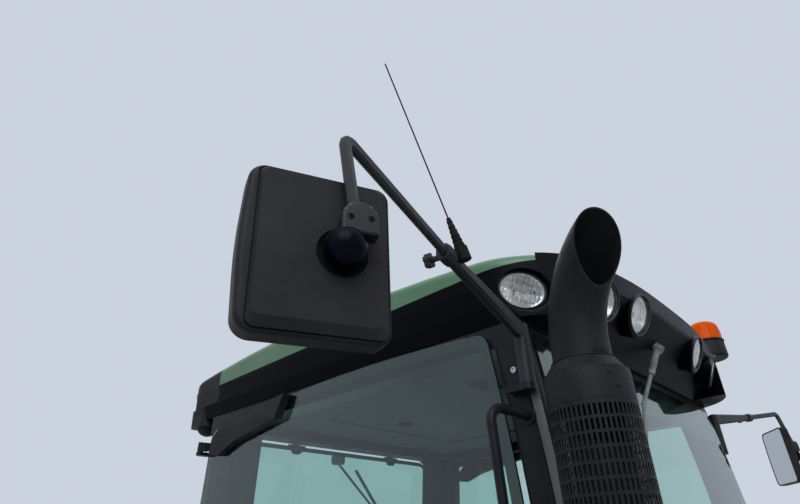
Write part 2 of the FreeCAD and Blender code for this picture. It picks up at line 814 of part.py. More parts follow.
# Corner lamps: long ovals at the roof's front corners
oval_cup = oval_cone(-corner_lamp_taper, -corner_lamp_depth, corner_lamp_rim, 2)
oval_cup = oval_cup.cut(oval_cone(0, -corner_lamp_seat, 0, 5))
oval_lens = oval_cone(-seat_gap, -corner_lamp_seat + seat_gap, -6, 4)
oval_room = oval_cone(seat_gap - corner_lamp_taper, -corner_lamp_depth - seat_gap,
                      corner_lamp_rim + seat_gap, 2)
oval_room = oval_room.fuse(oval_cone(corner_lamp_rim + seat_gap, 2, 30, 90))
corner_cups = []
corner_lenses = []
corner_reach = roof_front_corner - corner_lamp_inset
corner_turn = math.radians(corner_lamp_turn)
corner_x = roof_front_x - roof_front_bow - roof_front_corner - corner_lamp_back
corner_x = corner_x + corner_reach * math.cos(corner_turn)
corner_y = roof_half_width - roof_front_corner + corner_reach * math.sin(corner_turn)
corner_z = roof_bottom_z - corner_lamp_below
for side, sign in SIDES:
    there = lamp_frame(corner_x, corner_y, corner_z, corner_lamp_pitch, corner_lamp_turn, sign)
    there = there.multiply(FreeCAD.Placement(V(0, 0, 0), FreeCAD.Rotation(Z, sign * corner_lamp_roll)))
    corner_cups.append(placed(oval_cup, there))
    corner_lenses.append(placed(oval_lens, there))
    skirt = skirt.cut(placed(oval_room, there))
    shell = shell.cut(placed(oval_room, there))
nodes["corner_lamps"] = Part.makeCompound(corner_cups)
nodes["corner_lamp_lenses"] = Part.makeCompound(corner_lenses)

# Rear corner caps: the roof's own rear corner in black, with a round lamp below
rear_caps = []
cap_inner_y = roof_half_width - rear_cap_width


def cap_room(gap):
    """Room of a rear corner cap, grown by a gap."""
    upper = rounded_box((roof_rear_x - 60, rear_cap_front_x + gap), (cap_inner_y - gap, far),
                        (rear_cap_bottom_z - gap, roof_crown_z + 60), Y, rear_cap_round)
    lower = box((roof_rear_x - 60, rear_cap_tail_x + gap), (cap_inner_y - gap, far),
                (0, rear_cap_bottom_z + 60))
    return upper.fuse(lower)


roof_whole = roof_body.common(tapered)
for side, sign in SIDES:
    cap = roof_whole.common(cap_room(0))
    tail_y = (cap_inner_y, roof_half_width - skirt_side_taper)
    tail = rounded_box((roof_rear_x + skirt_inset, rear_cap_tail_x), tail_y,
                       (rear_cap_tail_z, rear_cap_bottom_z), Z, 30)
    cap_middle = V((roof_rear_x + skirt_inset + rear_cap_tail_x) / 2, (tail_y[0] + tail_y[1]) / 2,
                   rear_cap_tail_z + rear_lamp_bulge_r * 0.3)
    bulge = Part.makeSphere(rear_lamp_bulge_r, cap_middle)
    bulge = bulge.common(box((-far, 0), (0, far), (0, rear_cap_tail_z + 20)))
    rear_caps.append(mirrored(fuse(cap, tail, bulge), sign))
    skirt = skirt.cut(mirrored(cap_room(seat_gap), sign))
    shell = shell.cut(mirrored(cap_room(seat_gap), sign))
nodes["rear_corner_lamps"] = Part.makeCompound(rear_caps)
nodes["roof_skirt"] = skirt
nodes["roof_shell"] = shell

# Beacon: a base on an arm that stands out from the roof's corner, and its domed lens
beacon_low_z = beacon_base_top_z - beacon_base_height
base = Part.makeCone(beacon_base_r, beacon_base_r - 2, beacon_base_height,
                     V(beacon_x, beacon_y, beacon_low_z))
base = base.makeFillet(beacon_base_round, [e for e in base.Edges if e.BoundBox.ZMax < beacon_base_top_z - 5])
beacon_arm = rounded_box(beacon_arm_reach, (-beacon_arm_width / 2, beacon_arm_width / 2),
                         (beacon_low_z - beacon_arm_height, beacon_low_z + 2), Z, 10)
beacon_arm.rotate(V(0, 0, 0), Z, beacon_arm_turn)
beacon_arm.translate(V(roof_front_x - roof_front_bow - roof_front_corner,
                       roof_half_width - roof_front_corner, 0))
base = base.fuse(beacon_arm).cut(shell).cut(skirt)
nodes["beacon_base"] = max(base.Solids, key=lambda solid: solid.Volume)
dome_round = beacon_dome_r * 0.45
dome = face(xz(0, 0), xz(beacon_dome_r, 0), xz(beacon_dome_r - 2, beacon_dome_height - dome_round),
            (xz(beacon_dome_r - dome_round * 0.32 - 2, beacon_dome_height - dome_round * 0.3),
             xz(beacon_dome_r - dome_round, beacon_dome_height)),
            xz(0, beacon_dome_height)).revolve(V(0, 0, 0), Z, 360)
dome.translate(V(beacon_x, beacon_y, beacon_base_top_z))
nodes["beacon_dome"] = dome

# Windscreen: a bent pane that comes down on both sides of the hump
pane = front_strip(0, glass, windscreen_bottom_z, windscreen_top_z, windscreen_half_width)
pane = pane.cut(front_hump(windscreen_overlap, 0, 900).common(box((0, far), (-500, 500), (0, far))))
nodes["windscreen"] = pane

# Windscreen wiper: spindle boss on the visor, cranked arm and blade
spindle = V(*wiper_spindle)
knee = V(*wiper_knee)
end = V(*wiper_end)
into_visor = V(ring_top_z - visor_knee_z, 0, roof_front_x - skirt_front_x).normalize()
boss = rod(spindle - into_visor * 16, spindle + into_visor * 30, wiper_boss_r).cut(nodes["roof_skirt"])
boss = min(boss.Solids, key=lambda solid: (solid.CenterOfMass - spindle).Length)
arm_a = rod(spindle, knee, wiper_arm_r)
sleeve = rod(spindle, spindle + (knee - spindle) * 0.5, wiper_sleeve_r)
arm_b = rod(knee, end, wiper_arm_r - 1)
blade_run = (end - knee).normalize() * (wiper_blade_length / 2)
blade = rod(end - blade_run * 0.55, end + blade_run, wiper_arm_r)
arms = fuse(boss, arm_a, sleeve, arm_b, Part.makeSphere(wiper_arm_r + 1.5, knee), blade)
arms = arms.cut(front_strip(-seat_gap, 60, 200, 1610, 800)).cut(nodes["roof_skirt"])
nodes["windscreen_wiper"] = max(arms.Solids, key=lambda solid: solid.Volume)

# Grab handles on the front posts
for side, sign in SIDES:
    ys = (post_outer_y + seat_gap, grab_out_y, grab_out_y, post_outer_y + seat_gap)
    points = [V(x, y, z) for (x, z), y in zip(GRAB_PATH, ys)]
    handle = tube(points, grab_r, grab_bend_r)
    for point in (points[0], points[-1]):
        plate = Part.makeCylinder(grab_foot_r, grab_foot, V(point.x, post_outer_y + seat_gap, point.z), Y)
        handle = handle.fuse(plate)
    handle = handle.cut(box((0, far), (0, post_outer_y + seat_gap), (0, far))).removeSplitter()
    nodes["grab_handle_" + side] = mirrored(handle, sign)

# Mirror hinge blocks on the front posts: plate, ear and an upright pin
for side, sign in SIDES:
    block = box(mirror_block_x, (post_outer_y + seat_gap, post_outer_y + mirror_plate), mirror_block_z)
    block = block.fuse(box((mirror_block_x[0] + 6, mirror_x), (post_outer_y + 5, mirror_y + 14),
                           (mirror_ear_z, mirror_ear_z + mirror_ear)))
    block = block.fuse([Part.makeCylinder(mirror_barrel_r, mirror_ear, V(mirror_x, mirror_y, mirror_ear_z)),
                        Part.makeCylinder(mirror_pin_r, mirror_pin_top_z - mirror_ear_z,
                                          V(mirror_x, mirror_y, mirror_ear_z))])
    block = block.cut(box((0, far), (0, post_outer_y + seat_gap), (0, far))).removeSplitter()
    nodes["mirror_hinge_" + side] = mirrored(block, sign)


def bar_section(origin, direction, wide, thin):
    """Flat bar's outline with its corners cut, across an arm."""
    cut = min(wide, thin) * 0.28
    half = [(wide / 2, thin / 2 - cut), (wide / 2 - cut, thin / 2), (cut - wide / 2, thin / 2),
            (-wide / 2, thin / 2 - cut)]
    points = [V(x, y, 0) for x, y in half] + [V(-x, -y, 0) for x, y in half]
    return placed(Part.makePolygon(points + points[:1]), frame_at(origin, direction))


# Mirror arms, built for the left: barrel, tapered root, clamp with star knob, bent bar, boss and ball
root = V(mirror_x, mirror_y, arm_root_z)
clamp = V(*arm_clamp)
elbow = V(*arm_elbow)
ball = V(*ball_centre)
run = (clamp - root).normalize()
barrel_low = mirror_ear_z + mirror_ear + seat_gap
pin_foot = V(mirror_x, mirror_y, barrel_low)
barrel = Part.makeCylinder(mirror_barrel_r, mirror_barrel_top_z - barrel_low, pin_foot)
taper = Part.makeLoft([bar_section(root, run, arm_root_thin, arm_root_wide),
                       bar_section(clamp, run, arm_thin + 7, arm_wide + 5)], True, True)
bar_points = [clamp - run * 30, elbow, ball + V(*arm_end_offset)]
bar_start = bar_section(bar_points[0], bar_points[1] - bar_points[0], arm_thin, arm_wide)
bar = path(bar_points, arm_bend_r).makePipeShell([bar_start], True, False)
collar = Part.makeLoft([bar_section(clamp + run * along_bar, run, collar_wide, collar_wide + 2)
                        for along_bar in (-collar_half, collar_half)], True, True)
level = V(run.y, -run.x, 0).normalize()
knob_seat = clamp - level * 14
knob = rod(knob_seat, knob_seat - level * (knob_length - 12), 6)
knob_head = Part.makeCylinder(knob_r, 13)
for i in range(knob_points):
    angle = math.radians(360 / knob_points * i)
    notch = V(math.cos(angle), math.sin(angle), 0) * (knob_r + 2) - Z * 2
    knob_head = knob_head.cut(Part.makeCylinder(5, 20, notch))
knob_head = placed(knob_head, frame_at(knob_seat - level * (knob_length - 14), -level))
boss_face = face(V(-boss_half_width, -boss_half_height, 0), V(boss_half_width, -boss_half_height, 0),
                 V(boss_half_width, 0, 0), (V(0, boss_half_height + 4, 0), V(-boss_half_width, 0, 0)))
boss_block = along(boss_face, Z, -boss_thickness / 2, boss_thickness / 2)
front_edges = [e for e in boss_block.Edges if e.BoundBox.ZMin > boss_thickness / 2 - 1]
boss_block = boss_block.makeFillet(4, front_edges)
for x in (-boss_half_width * 0.55, boss_half_width * 0.55):
    boss_block = boss_block.cut(Part.makeCylinder(boss_screw_r, 10, V(x, 0, boss_thickness / 2 - 4)))
boss_out = V(math.cos(math.radians(boss_yaw)), math.sin(math.radians(boss_yaw)), 0)
boss_at = ball + V(*boss_offset)
boss_block = placed(boss_block, frame_at(boss_at, boss_out))
ball_neck = rod(ball, boss_at - Z * (boss_half_height - 6), ball_r * 0.42)
arm = barrel.fuse([taper, bar, collar, knob, knob_head, Part.makeSphere(ball_r, ball), ball_neck, boss_block])
bore_length = mirror_pin_top_z + seat_gap - barrel_low + 5
bore = Part.makeCylinder(mirror_pin_r + mirror_bore_clearance, bore_length, pin_foot - Z * 5)
arm = arm.cut(bore).removeSplitter()


def head_outline(inset):
    """Mirror head seen from behind: X outwards, Y up, with a bowed outer side."""
    inner = -panel_width / 2 - head_margin + inset
    outer = panel_width / 2 + head_outer_margin - inset
    top = panel_height / 2 + head_margin - inset
    small = head_corner_r - inset
    return rounded_face([(V(inner, top, 0), small * 0.8), (V(inner, -top, 0), small * 0.8),
                         (V(outer, -top, 0), small), (V(outer + head_outer_bow, 0, 0), 900),
                         (V(outer, top, 0), small)])


def panel_outline(grow, bevel, z):
    """Wire of the head's raised panel: its inner and lower sides are drawn in further by the bevel."""
    high = panel_height / 2 + grow - 0.3 * bevel
    low = -panel_height / 2 - grow + bevel
    outer = panel_width / 2 + grow - 0.3 * bevel
    inner = -panel_width / 2 - grow + bevel
    corners = ((inner, high), (inner, low), (outer, low), (outer, high))
    return rounded_face([(V(x, y, z), panel_corner_r) for x, y in corners]).OuterWire


# Mirror head in its own frame: bowed shell, raised panel set off by a groove, and the pane in its rim
head_back = along(head_outline(0), Z, -head_depth, 0)
head_back = head_back.makeFillet(head_edge_r, [e for e in head_back.Edges if e.BoundBox.ZMin > -1])
groove = along(Part.Face(panel_outline(panel_groove, 0, 0)), Z, -panel_seam, 1).cut(
    along(Part.Face(panel_outline(0, 0, 0)), Z, -panel_seam, 1))
panel = Part.makeLoft([panel_outline(0, 0, -panel_seam), panel_outline(0, 0, 0),
                       panel_outline(0, panel_bevel, panel_raise)], True, True)
head_back = fuse(head_back.cut(groove), panel)
inner = along(head_outline(head_wall), Z, -head_depth - 1, -head_depth + 5)
mirror_pane = along(head_outline(head_wall + seat_gap), Z, -head_depth + 1, -head_depth + 5)
bowl_r = (recess_r ** 2 + recess_depth ** 2) / (2 * recess_depth)
ball_reach = ball_in_head[2] - panel_raise
for side, sign in SIDES:
    yaw = math.radians(HEAD_YAW[side])
    out_of_back = V(math.cos(yaw), math.sin(yaw), 0)
    head_turn = frame_at(V(0, 0, 0), out_of_back)
    head_at = FreeCAD.Placement(ball - head_turn.multVec(V(*ball_in_head)), head_turn.Rotation)
    bowl_centre = ball + out_of_back * (bowl_r - recess_depth - ball_reach)
    head = placed(head_back.cut(inner), head_at).cut(Part.makeSphere(bowl_r, bowl_centre))
    stem = rod(ball - out_of_back * (ball_reach + recess_depth + 2), ball - out_of_back * (ball_r - 6), 13)
    stem = stem.cut(Part.makeSphere(ball_r + seat_gap, ball))
    nodes["mirror_head_" + side] = mirrored(fuse(head, stem), sign)
    nodes["mirror_glass_" + side] = mirrored(placed(mirror_pane, head_at), sign)
    nodes["mirror_arm_" + side] = mirrored(arm, sign)

# Radio whip: clamp foot, tapered rubber base and the whip itself, on the right-hand arm
foot_point = V(*whip_base)
tip = V(*whip_tip)
lean = (tip - foot_point).normalize()
whip = Part.makeCone(whip_base_r, 4.5, whip_base_length, foot_point, lean)
whip = whip.fuse([rod(foot_point - lean * 26, foot_point + lean * 2, whip_base_r + 3),
                  rod(foot_point + lean * (whip_base_length - 2), tip, whip_r)])
whip = mirrored(whip.cut(arm).removeSplitter(), -1)
nodes["radio_whip"] = max(whip.Solids, key=lambda solid: solid.Volume)

# Exhaust stack: flange, straight pipe and a bend cut off on a slant
turn = math.radians(stack_bend_turn)
outward = V(math.sin(turn), -math.cos(turn), 0)
foot_xy = V(stack_x, stack_y, 0)


def bend_point(angle):
    """Point on the stack's centre line, an angle round its bend."""
    return (foot_xy + Z * (stack_straight_z + stack_bend_r * math.sin(angle))
            + outward * (stack_bend_r * (1 - math.cos(angle))))


def stack_pipe(radius):
    """Solid bar along the stack, a little longer than the pipe."""
    reach = math.radians(stack_bend + 24)
    bend_start = foot_xy + Z * stack_straight_z
    line = Part.LineSegment(foot_xy + Z * stack_bottom_z, bend_start).toShape()
    spine = Part.Wire([line, Part.Arc(bend_start, bend_point(reach / 2), bend_point(reach)).toShape()])
    section = Part.Wire(Part.makeCircle(radius, foot_xy + Z * stack_bottom_z, Z))
    return spine.makePipeShell([section], True, False)


mouth = bend_point(math.radians(stack_bend))
drop = math.radians(stack_cut_drop)
mouth_normal = outward * math.cos(drop) - Z * math.sin(drop)
beyond = placed(Part.makeBox(800, 800, 400, V(-400, -400, 0)), frame_at(mouth, mouth_normal))
pipe = stack_pipe(stack_r).cut(beyond)
flange = Part.makeCylinder(flange_r, flange_thickness, foot_xy + Z * stack_bottom_z)
for i in range(4):
    angle = math.radians(45 + 90 * i)
    flange = flange.cut(Part.makeCylinder(flange_hole_r, flange_thickness, foot_xy + Z * stack_bottom_z
                                          + V(math.cos(angle), math.sin(angle), 0) * (flange_pcd / 2)))
pipe = pipe.fuse(flange).cut(stack_pipe(stack_r - stack_wall)).removeSplitter()
nodes["exhaust_stack"] = pipe

# Guard round the stack: slotted sleeve with a plain band and a cone up to the pipe
sleeve = turned([(guard_r - guard_wall, guard_bottom_z), (guard_r, guard_bottom_z), (guard_r, guard_top_z),
                 (stack_r + seat_gap + 2, guard_neck_z), (stack_r + seat_gap, guard_neck_z),
                 (stack_r + seat_gap, guard_neck_z - 4), (guard_r - guard_wall, guard_top_z - 3)])
row_height = (guard_band_z - guard_bottom_z - guard_slot_gap) / guard_rows
cutters = []
for row in range(guard_rows):
    low = guard_bottom_z + guard_slot_gap + row * row_height
    for column in range(guard_columns // 2):
        cutter = box((-guard_r - 5, guard_r + 5), (-guard_slot_width / 2, guard_slot_width / 2),
                     (low, low + row_height - guard_slot_gap))
        cutter.rotate(V(0, 0, 0), Z, 360 / guard_columns * column)
        cutters.append(cutter)
sleeve = sleeve.cut(Part.makeCompound(cutters))
sleeve.translate(foot_xy)
nodes["stack_guard"] = sleeve

# Two brackets strap the guard to the right-hand front post
brackets = []
for z in BRACKET_Z:
    strap = Part.makeCylinder(guard_r + seat_gap + bracket_strap, bracket_height, foot_xy + Z * z)
    plate_y = -post_outer_y - seat_gap
    plate = box((front_x(z) - bracket_foot, stack_x - 20), (plate_y - bracket_plate, plate_y),
                (z, z + bracket_height))
    bracket = strap.fuse(plate).cut(Part.makeCylinder(guard_r + seat_gap, bracket_height, foot_xy + Z * z))
    brackets.append(bracket.removeSplitter())
nodes["stack_brackets"] = Part.makeCompound(brackets)

# Seat: suspension, cushion and leaning back
def seat_plate(size, bottom_z):
    """Rounded plate of the seat's foot, from its length, width and thickness."""
    x = seat_x - seat_plate_back
    return rounded_box((x - size[0] / 2, x + size[0] / 2), (-size[1] / 2, size[1] / 2),
                       (bottom_z, bottom_z + size[2]), Z, seat_plate_corner_r)


bellows = [(0, 0)]
fold_height = (seat_top_z - seat_cushion - seat_tray[2] - floor_top_z - seat_base[2]) / bellows_folds
for i in range(bellows_folds):
    bellows += [(bellows_r[1], i * fold_height), (bellows_r[0], (i + 0.5) * fold_height)]
bellows += [(bellows_r[1], bellows_folds * fold_height), (0, bellows_folds * fold_height)]
folded = turned(bellows)
folded.translate(V(seat_x - seat_plate_back, 0, floor_top_z + seat_base[2]))
nodes["seat_suspension"] = fuse(seat_plate(seat_base, floor_top_z), folded,
                                seat_plate(seat_tray, seat_top_z - seat_cushion - seat_tray[2]))
cushion = rounded_box((seat_x - seat_length / 2, seat_x + seat_length / 2), (-seat_width / 2, seat_width / 2),
                      (seat_top_z - seat_cushion + seat_gap, seat_top_z), Z, cushion_corner_r)
top_edges = [e for e in cushion.Edges if e.BoundBox.ZMin > seat_top_z - 1]
nodes["seat_cushion"] = cushion.makeFillet(cushion_round, top_edges)
back_half = seat_width / 2 - 10
backrest = rounded_box((-seat_back_thickness, 0), (-back_half, back_half), (0, seat_back_height),
                       X, seat_back_corner_r)
backrest = backrest.makeFillet(seat_back_round, [e for e in backrest.Edges if e.BoundBox.XMin > -1])
backrest.rotate(V(0, 0, 0), Y, -seat_back_lean)
backrest.translate(V(seat_x - seat_length / 2 + seat_back_x, 0, seat_top_z + seat_back_up))
nodes["seat_back"] = backrest.cut(nodes["seat_cushion"])

# Right-hand console with its armrest
console = along(face(*[xz(x, z) for x, z in CONSOLE]), Y, console_y[0], console_y[1])
nodes["side_console"] = console.makeFillet(console_round, edges_along(console, Y, 100))

# Front console, steering column and wheel
dash = along(face(*[xz(x, z) for x, z in DASH]), Y, -dash_half_width, dash_half_width)
dash = dash.makeFillet(dash_round, edges_along(dash, Y, 100))
tilt = math.radians(column_tilt)
column_up = V(-math.sin(tilt), 0, math.cos(tilt))
column_foot = V(*column_base)
column_top = column_foot + column_up * column_length
column = Part.makeCone(column_foot_r, column_r, column_length, column_foot, column_up)
shaft_end = column_top + column_up * (wheel_hub_height - 8)
column = column.fuse(rod(column_top - column_up * 5, shaft_end, wheel_shaft_r))
nodes["front_console"] = fuse(dash, column)
shaft_hole_r = wheel_shaft_r + wheel_shaft_fit
hub = turned([(shaft_hole_r, seat_gap), (wheel_hub_r, seat_gap), (wheel_hub_r - 6, wheel_hub_height),
              (0, wheel_hub_height), (0, wheel_hub_height - 7), (shaft_hole_r, wheel_hub_height - 7)])
rim = Part.makeTorus(wheel_r, wheel_rim_r, V(0, 0, wheel_hub_height))
spokes = []
for angle in (0, 120, 240):
    spoke = box((wheel_hub_r - 14, wheel_r), (-spoke_width / 2, spoke_width / 2),
                (wheel_hub_height - 6 - spoke_thickness, wheel_hub_height - 6))
    spoke.rotate(V(0, 0, 0), Z, angle)
    spokes.append(spoke)
wheel = hub.fuse([rim] + spokes).removeSplitter()
nodes["steering_wheel"] = placed(wheel, frame_at(column_top, column_up, V(1, 0, 0)))

# Doors: an all-glass pane each, with strap hinges, an outside handle and a corner cover
door_mid_x = -100.0
arch_cut_r = arch_r + door_arch_clearance
rear_low_reach = rear_x(arch_z + arch_r) + door_rear_inset - arch_x
rear_low_z = arch_z + math.sqrt(arch_cut_r ** 2 - rear_low_reach ** 2)
front_low_x = arch_x + math.sqrt(arch_cut_r ** 2 - (door_bottom_z - arch_z) ** 2)
arch_middle = xz(arch_x, arch_z) + xz(1, 1).normalize() * arch_cut_r
door_outline = face(
    front_point(door_bottom_z, door_front_inset),
    (front_point(bulge_z, door_front_inset), front_point(door_top_front_z, door_front_inset)),
    (xz(door_mid_x, door_top_crown_z), xz(rear_x(door_top_rear_z) + door_rear_inset, door_top_rear_z)),
    xz(rear_x(rear_low_z) + door_rear_inset, rear_low_z),
    (arch_middle, xz(front_low_x, door_bottom_z)))
pane = along(door_outline, Y, pane_outer_y - glass, pane_outer_y)
corners = [e for e in edges_along(pane, Y) if e.CenterOfMass.z > 1000 or e.CenterOfMass.x > 300]
pane = pane.makeFillet(door_corner_r, corners)
for side, sign in SIDES:
    nodes["door_pane_" + side] = mirrored(pane, sign)
    outside = pane_outer_y + seat_gap
    hardware = []
    for z in HINGE_Z:
        foot = hinge_at(z)
        high = foot + lean_direction * hinge_barrel_length
        barrel = rod(foot + lean_direction * hinge_running_gap, high, hinge_barrel_r)
        strap_height = (foot.z + 4, foot.z + hinge_barrel_length - 4)
        strap = box((foot.x, foot.x + hinge_strap_length), (outside, outside + hinge_strap), strap_height)
        web = box((foot.x + 2, foot.x + 30), (outside, hinge_y), strap_height)
        bore = rod(foot - lean_direction * 20, high + lean_direction * 20, hinge_pin_r + wheel_shaft_fit)
        hardware.append(barrel.fuse([strap, web]).cut(bore).removeSplitter())
    handle_width, handle_deep, handle_height = handle_size
    latch = rounded_box((handle_x - handle_width / 2, handle_x + handle_width / 2),
                        (outside, outside + handle_deep),
                        (handle_z - handle_height / 2, handle_z + handle_height / 2), Y, handle_width * 0.3)
    cup_width, cup_height, cup_deep = latch_cup
    cup_z = handle_z - handle_height * 0.1
    latch = latch.cut(rounded_box((handle_x - cup_width / 2, handle_x + cup_width / 2),
                                  (outside + handle_deep - cup_deep, outside + 2 * handle_deep),
                                  (cup_z - cup_height / 2, cup_z + cup_height / 2), Y, cup_width * 0.4))
    hardware.append(latch)
    nodes["door_fittings_" + side] = mirrored(Part.makeCompound(hardware), sign)
    low = outside + hinge_strap + seat_gap
    cover = along(face(*[xz(x, z) for x, z in COVER]), Y, outside, low + cover_depth)
    slope_low, slope_mid, slope_high = cover_slope_z
    slope = face(yz(low + cover_ridge, slope_low), yz(low + cover_depth, slope_mid),
                 yz(low + cover_depth - 4, slope_high), yz(0, slope_high), yz(0, slope_low))
    cover = cover.common(along(slope, X, -far, 0))
    strap_end = hinge_at(HINGE_Z[1]) + X * (hinge_strap_length + 2)
    cover = cover.cut(box((-far, strap_end.x), (0, low), (strap_end.z, strap_end.z + hinge_barrel_length)))
    nodes["door_corner_cover_" + side] = mirrored(cover, sign)

# Rear window: pane and fittings

def behind_rear(out, z):
    """Point a distance behind the outside of the rear window at a height."""
    return xz(rear_x(z) - out, z)


window = along(face(behind_rear(0, rear_window_bottom_z), behind_rear(0, rear_window_top_z),
                    behind_rear(-glass, rear_window_top_z), behind_rear(-glass, rear_window_bottom_z)),
               Y, -rear_window_half_width, rear_window_half_width)
window = window.common(rounded_box((-far, 0), (-rear_window_half_width, rear_window_half_width),
                                   (rear_window_bottom_z, rear_window_top_z), X, rear_window_corner_r))
nodes["rear_window_pane"] = window
fittings = []
plate_low_z, plate_high_z = rear_plate_z
for y in (rear_hinge_y, -rear_hinge_y):
    half = rear_hinge_length / 2
    barrel = Part.makeCylinder(rear_hinge_r, 2 * half, V(rear_axis.x, y - half, rear_axis.z), Y)
    neck = face(xz(rear_axis.x - 4, rear_axis.z), xz(rear_axis.x - rear_hinge_r, rear_axis.z),
                behind_rear(rear_plate, plate_high_z - 10), behind_rear(seat_gap, plate_high_z - 10))
    neck = along(neck, Y, y - half, y + half)
    low_half, high_half = (width / 2 for width in rear_plate_width)
    plate = face(behind_rear(rear_plate, plate_high_z), behind_rear(seat_gap, plate_high_z),
                 behind_rear(seat_gap, plate_low_z), behind_rear(rear_plate, plate_low_z))
    plate = along(plate, Y, y - high_half, y + high_half)
    trapezoid = rounded_face([(yz(y - low_half, plate_low_z), 10), (yz(y + low_half, plate_low_z), 10),
                              (yz(y + high_half, plate_high_z), 4), (yz(y - high_half, plate_high_z), 4)])
    plate = plate.common(along(trapezoid, X, -far, 0))
    bore = Part.makeCylinder(rear_hinge_pin_r + wheel_shaft_fit, 100, V(rear_axis.x, y - 50, rear_axis.z), Y)
    fittings.append(barrel.fuse([neck, plate]).cut(bore).removeSplitter())
grip_z = rear_window_bottom_z + rear_grip_up
grip_line = behind_rear(rear_grip_out, grip_z)
grip = rod(grip_line - Y * rear_grip_half, grip_line + Y * rear_grip_half, rear_grip_r)
for y in (rear_grip_half - 10, 10 - rear_grip_half):
    grip = grip.fuse(rod(grip_line + Y * y, behind_rear(seat_gap, grip_z) + Y * y, rear_grip_r - 1))
fittings.append(grip.cut(envelope(0, -seat_gap)).removeSplitter())
nodes["rear_window_fittings"] = Part.makeCompound(fittings)

# Rear wiper: motor on the pane, arm and a long blade
pivot = behind_rear(rear_arm_off, rear_spindle[1]) + Y * rear_spindle[0]
blade_middle = behind_rear(rear_blade_off, rear_arm_end[1]) + Y * rear_arm_end[0]
motor_width, motor_height, motor_depth = rear_motor
motor_x = rear_x(rear_spindle[1])
motor = rounded_box((motor_x - motor_depth, motor_x), (pivot.y - motor_width / 2, pivot.y + motor_width / 2),
                    (pivot.z - motor_height / 2, pivot.z + motor_height / 2), X, motor_height / 3)
slope = math.radians(rear_blade_slope)
blade_half = V(-rear_lean * math.sin(slope), math.cos(slope), -math.sin(slope)).normalize()
blade_half = blade_half * (rear_blade_length / 2)
rear_blade = rod(blade_middle - blade_half, blade_middle + blade_half, wiper_arm_r + 1)
rear_wiper = motor.fuse([rod(pivot, blade_middle, wiper_arm_r - 1), rear_blade,
                         rod(pivot - X * 8, pivot + X * 20, 2 * wiper_arm_r)])
nodes["rear_wiper"] = rear_wiper.cut(envelope(0, -seat_gap)).removeSplitter()

for name, shape in nodes.items():
    problems = "" if shape.isValid() else " INVALID"
    litres = round(shape.Volume / 1e6, 3)
    print(name, len(shape.Solids), "solids", litres, "litres", len(shape.Faces), "faces" + problems)
    shape.exportStep("parts/" + name + ".step")
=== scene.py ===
import json
import math

import bmesh
import bpy
from mathutils import Matrix, Vector


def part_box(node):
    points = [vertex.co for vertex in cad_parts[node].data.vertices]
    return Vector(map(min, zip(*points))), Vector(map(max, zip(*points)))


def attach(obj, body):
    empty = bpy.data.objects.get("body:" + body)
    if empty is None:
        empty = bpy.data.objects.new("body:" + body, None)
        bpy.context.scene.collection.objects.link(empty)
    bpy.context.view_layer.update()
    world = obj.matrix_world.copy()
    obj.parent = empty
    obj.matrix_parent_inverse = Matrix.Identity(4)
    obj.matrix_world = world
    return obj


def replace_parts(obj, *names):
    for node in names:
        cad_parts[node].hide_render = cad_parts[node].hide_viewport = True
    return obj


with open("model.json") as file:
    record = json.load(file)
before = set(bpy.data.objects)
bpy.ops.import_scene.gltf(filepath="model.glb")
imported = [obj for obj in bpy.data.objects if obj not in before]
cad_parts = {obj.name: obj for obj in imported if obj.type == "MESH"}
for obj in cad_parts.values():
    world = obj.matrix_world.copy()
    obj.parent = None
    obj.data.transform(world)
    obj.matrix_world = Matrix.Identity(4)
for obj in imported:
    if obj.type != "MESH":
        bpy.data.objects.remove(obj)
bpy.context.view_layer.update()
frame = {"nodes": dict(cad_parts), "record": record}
nodes = frame["nodes"]

# Camera of the photograph, in metres and degrees of the cab's own frame
CAMERA_PLACE = Vector((1.316, -1.902, 1.101))
CAMERA_YAW = 131.29
CAMERA_PITCH = 29.08
CAMERA_ROLL = -2.34
CAMERA_LENS = 24.71
SKY = (0.60, 0.65, 0.74)
SKY_LIGHT = (0.86, 0.9, 1.0)
SKY_LIGHT_POWER = 0.75
FLOOR_SEEN = (0.62, 0.62, 0.62)
FLOOR_LIT = (0.16, 0.16, 0.16)
FLOOR_MOTTLE = 0.96
FLOOR_HALF = 60
LIGHTS = (  # name, place, target, size, watts
    ("key", (3.0, -4.0, 5.0), (0, 0, 1.2), 4.0, 160),
    ("fill", (-3.5, 3.5, 4.5), (0, 0, 1.2), 4.0, 90),
)

SIDES = (("left", 1), ("right", -1))
X = Vector((1, 0, 0))
Y = Vector((0, 1, 0))
Z = Vector((0, 0, 1))


def make_camera():
    yaw, pitch, roll = (math.radians(a) for a in (CAMERA_YAW, CAMERA_PITCH, CAMERA_ROLL))
    look = Vector((math.cos(pitch) * math.cos(yaw), math.cos(pitch) * math.sin(yaw), math.sin(pitch)))
    level = look.cross(Z).normalized()
    above = level.cross(look)
    right = math.cos(roll) * level + math.sin(roll) * above
    up = right.cross(look)
    data = bpy.data.cameras.new("camera")
    data.lens = CAMERA_LENS
    data.sensor_fit = "HORIZONTAL"
    data.sensor_width = 36
    data.clip_start = 0.05
    camera = bpy.data.objects.new("camera", data)
    camera.matrix_world = Matrix.Translation(CAMERA_PLACE) @ Matrix((right, up, -look)).transposed().to_4x4()
    bpy.context.scene.collection.objects.link(camera)
    bpy.context.scene.camera = camera


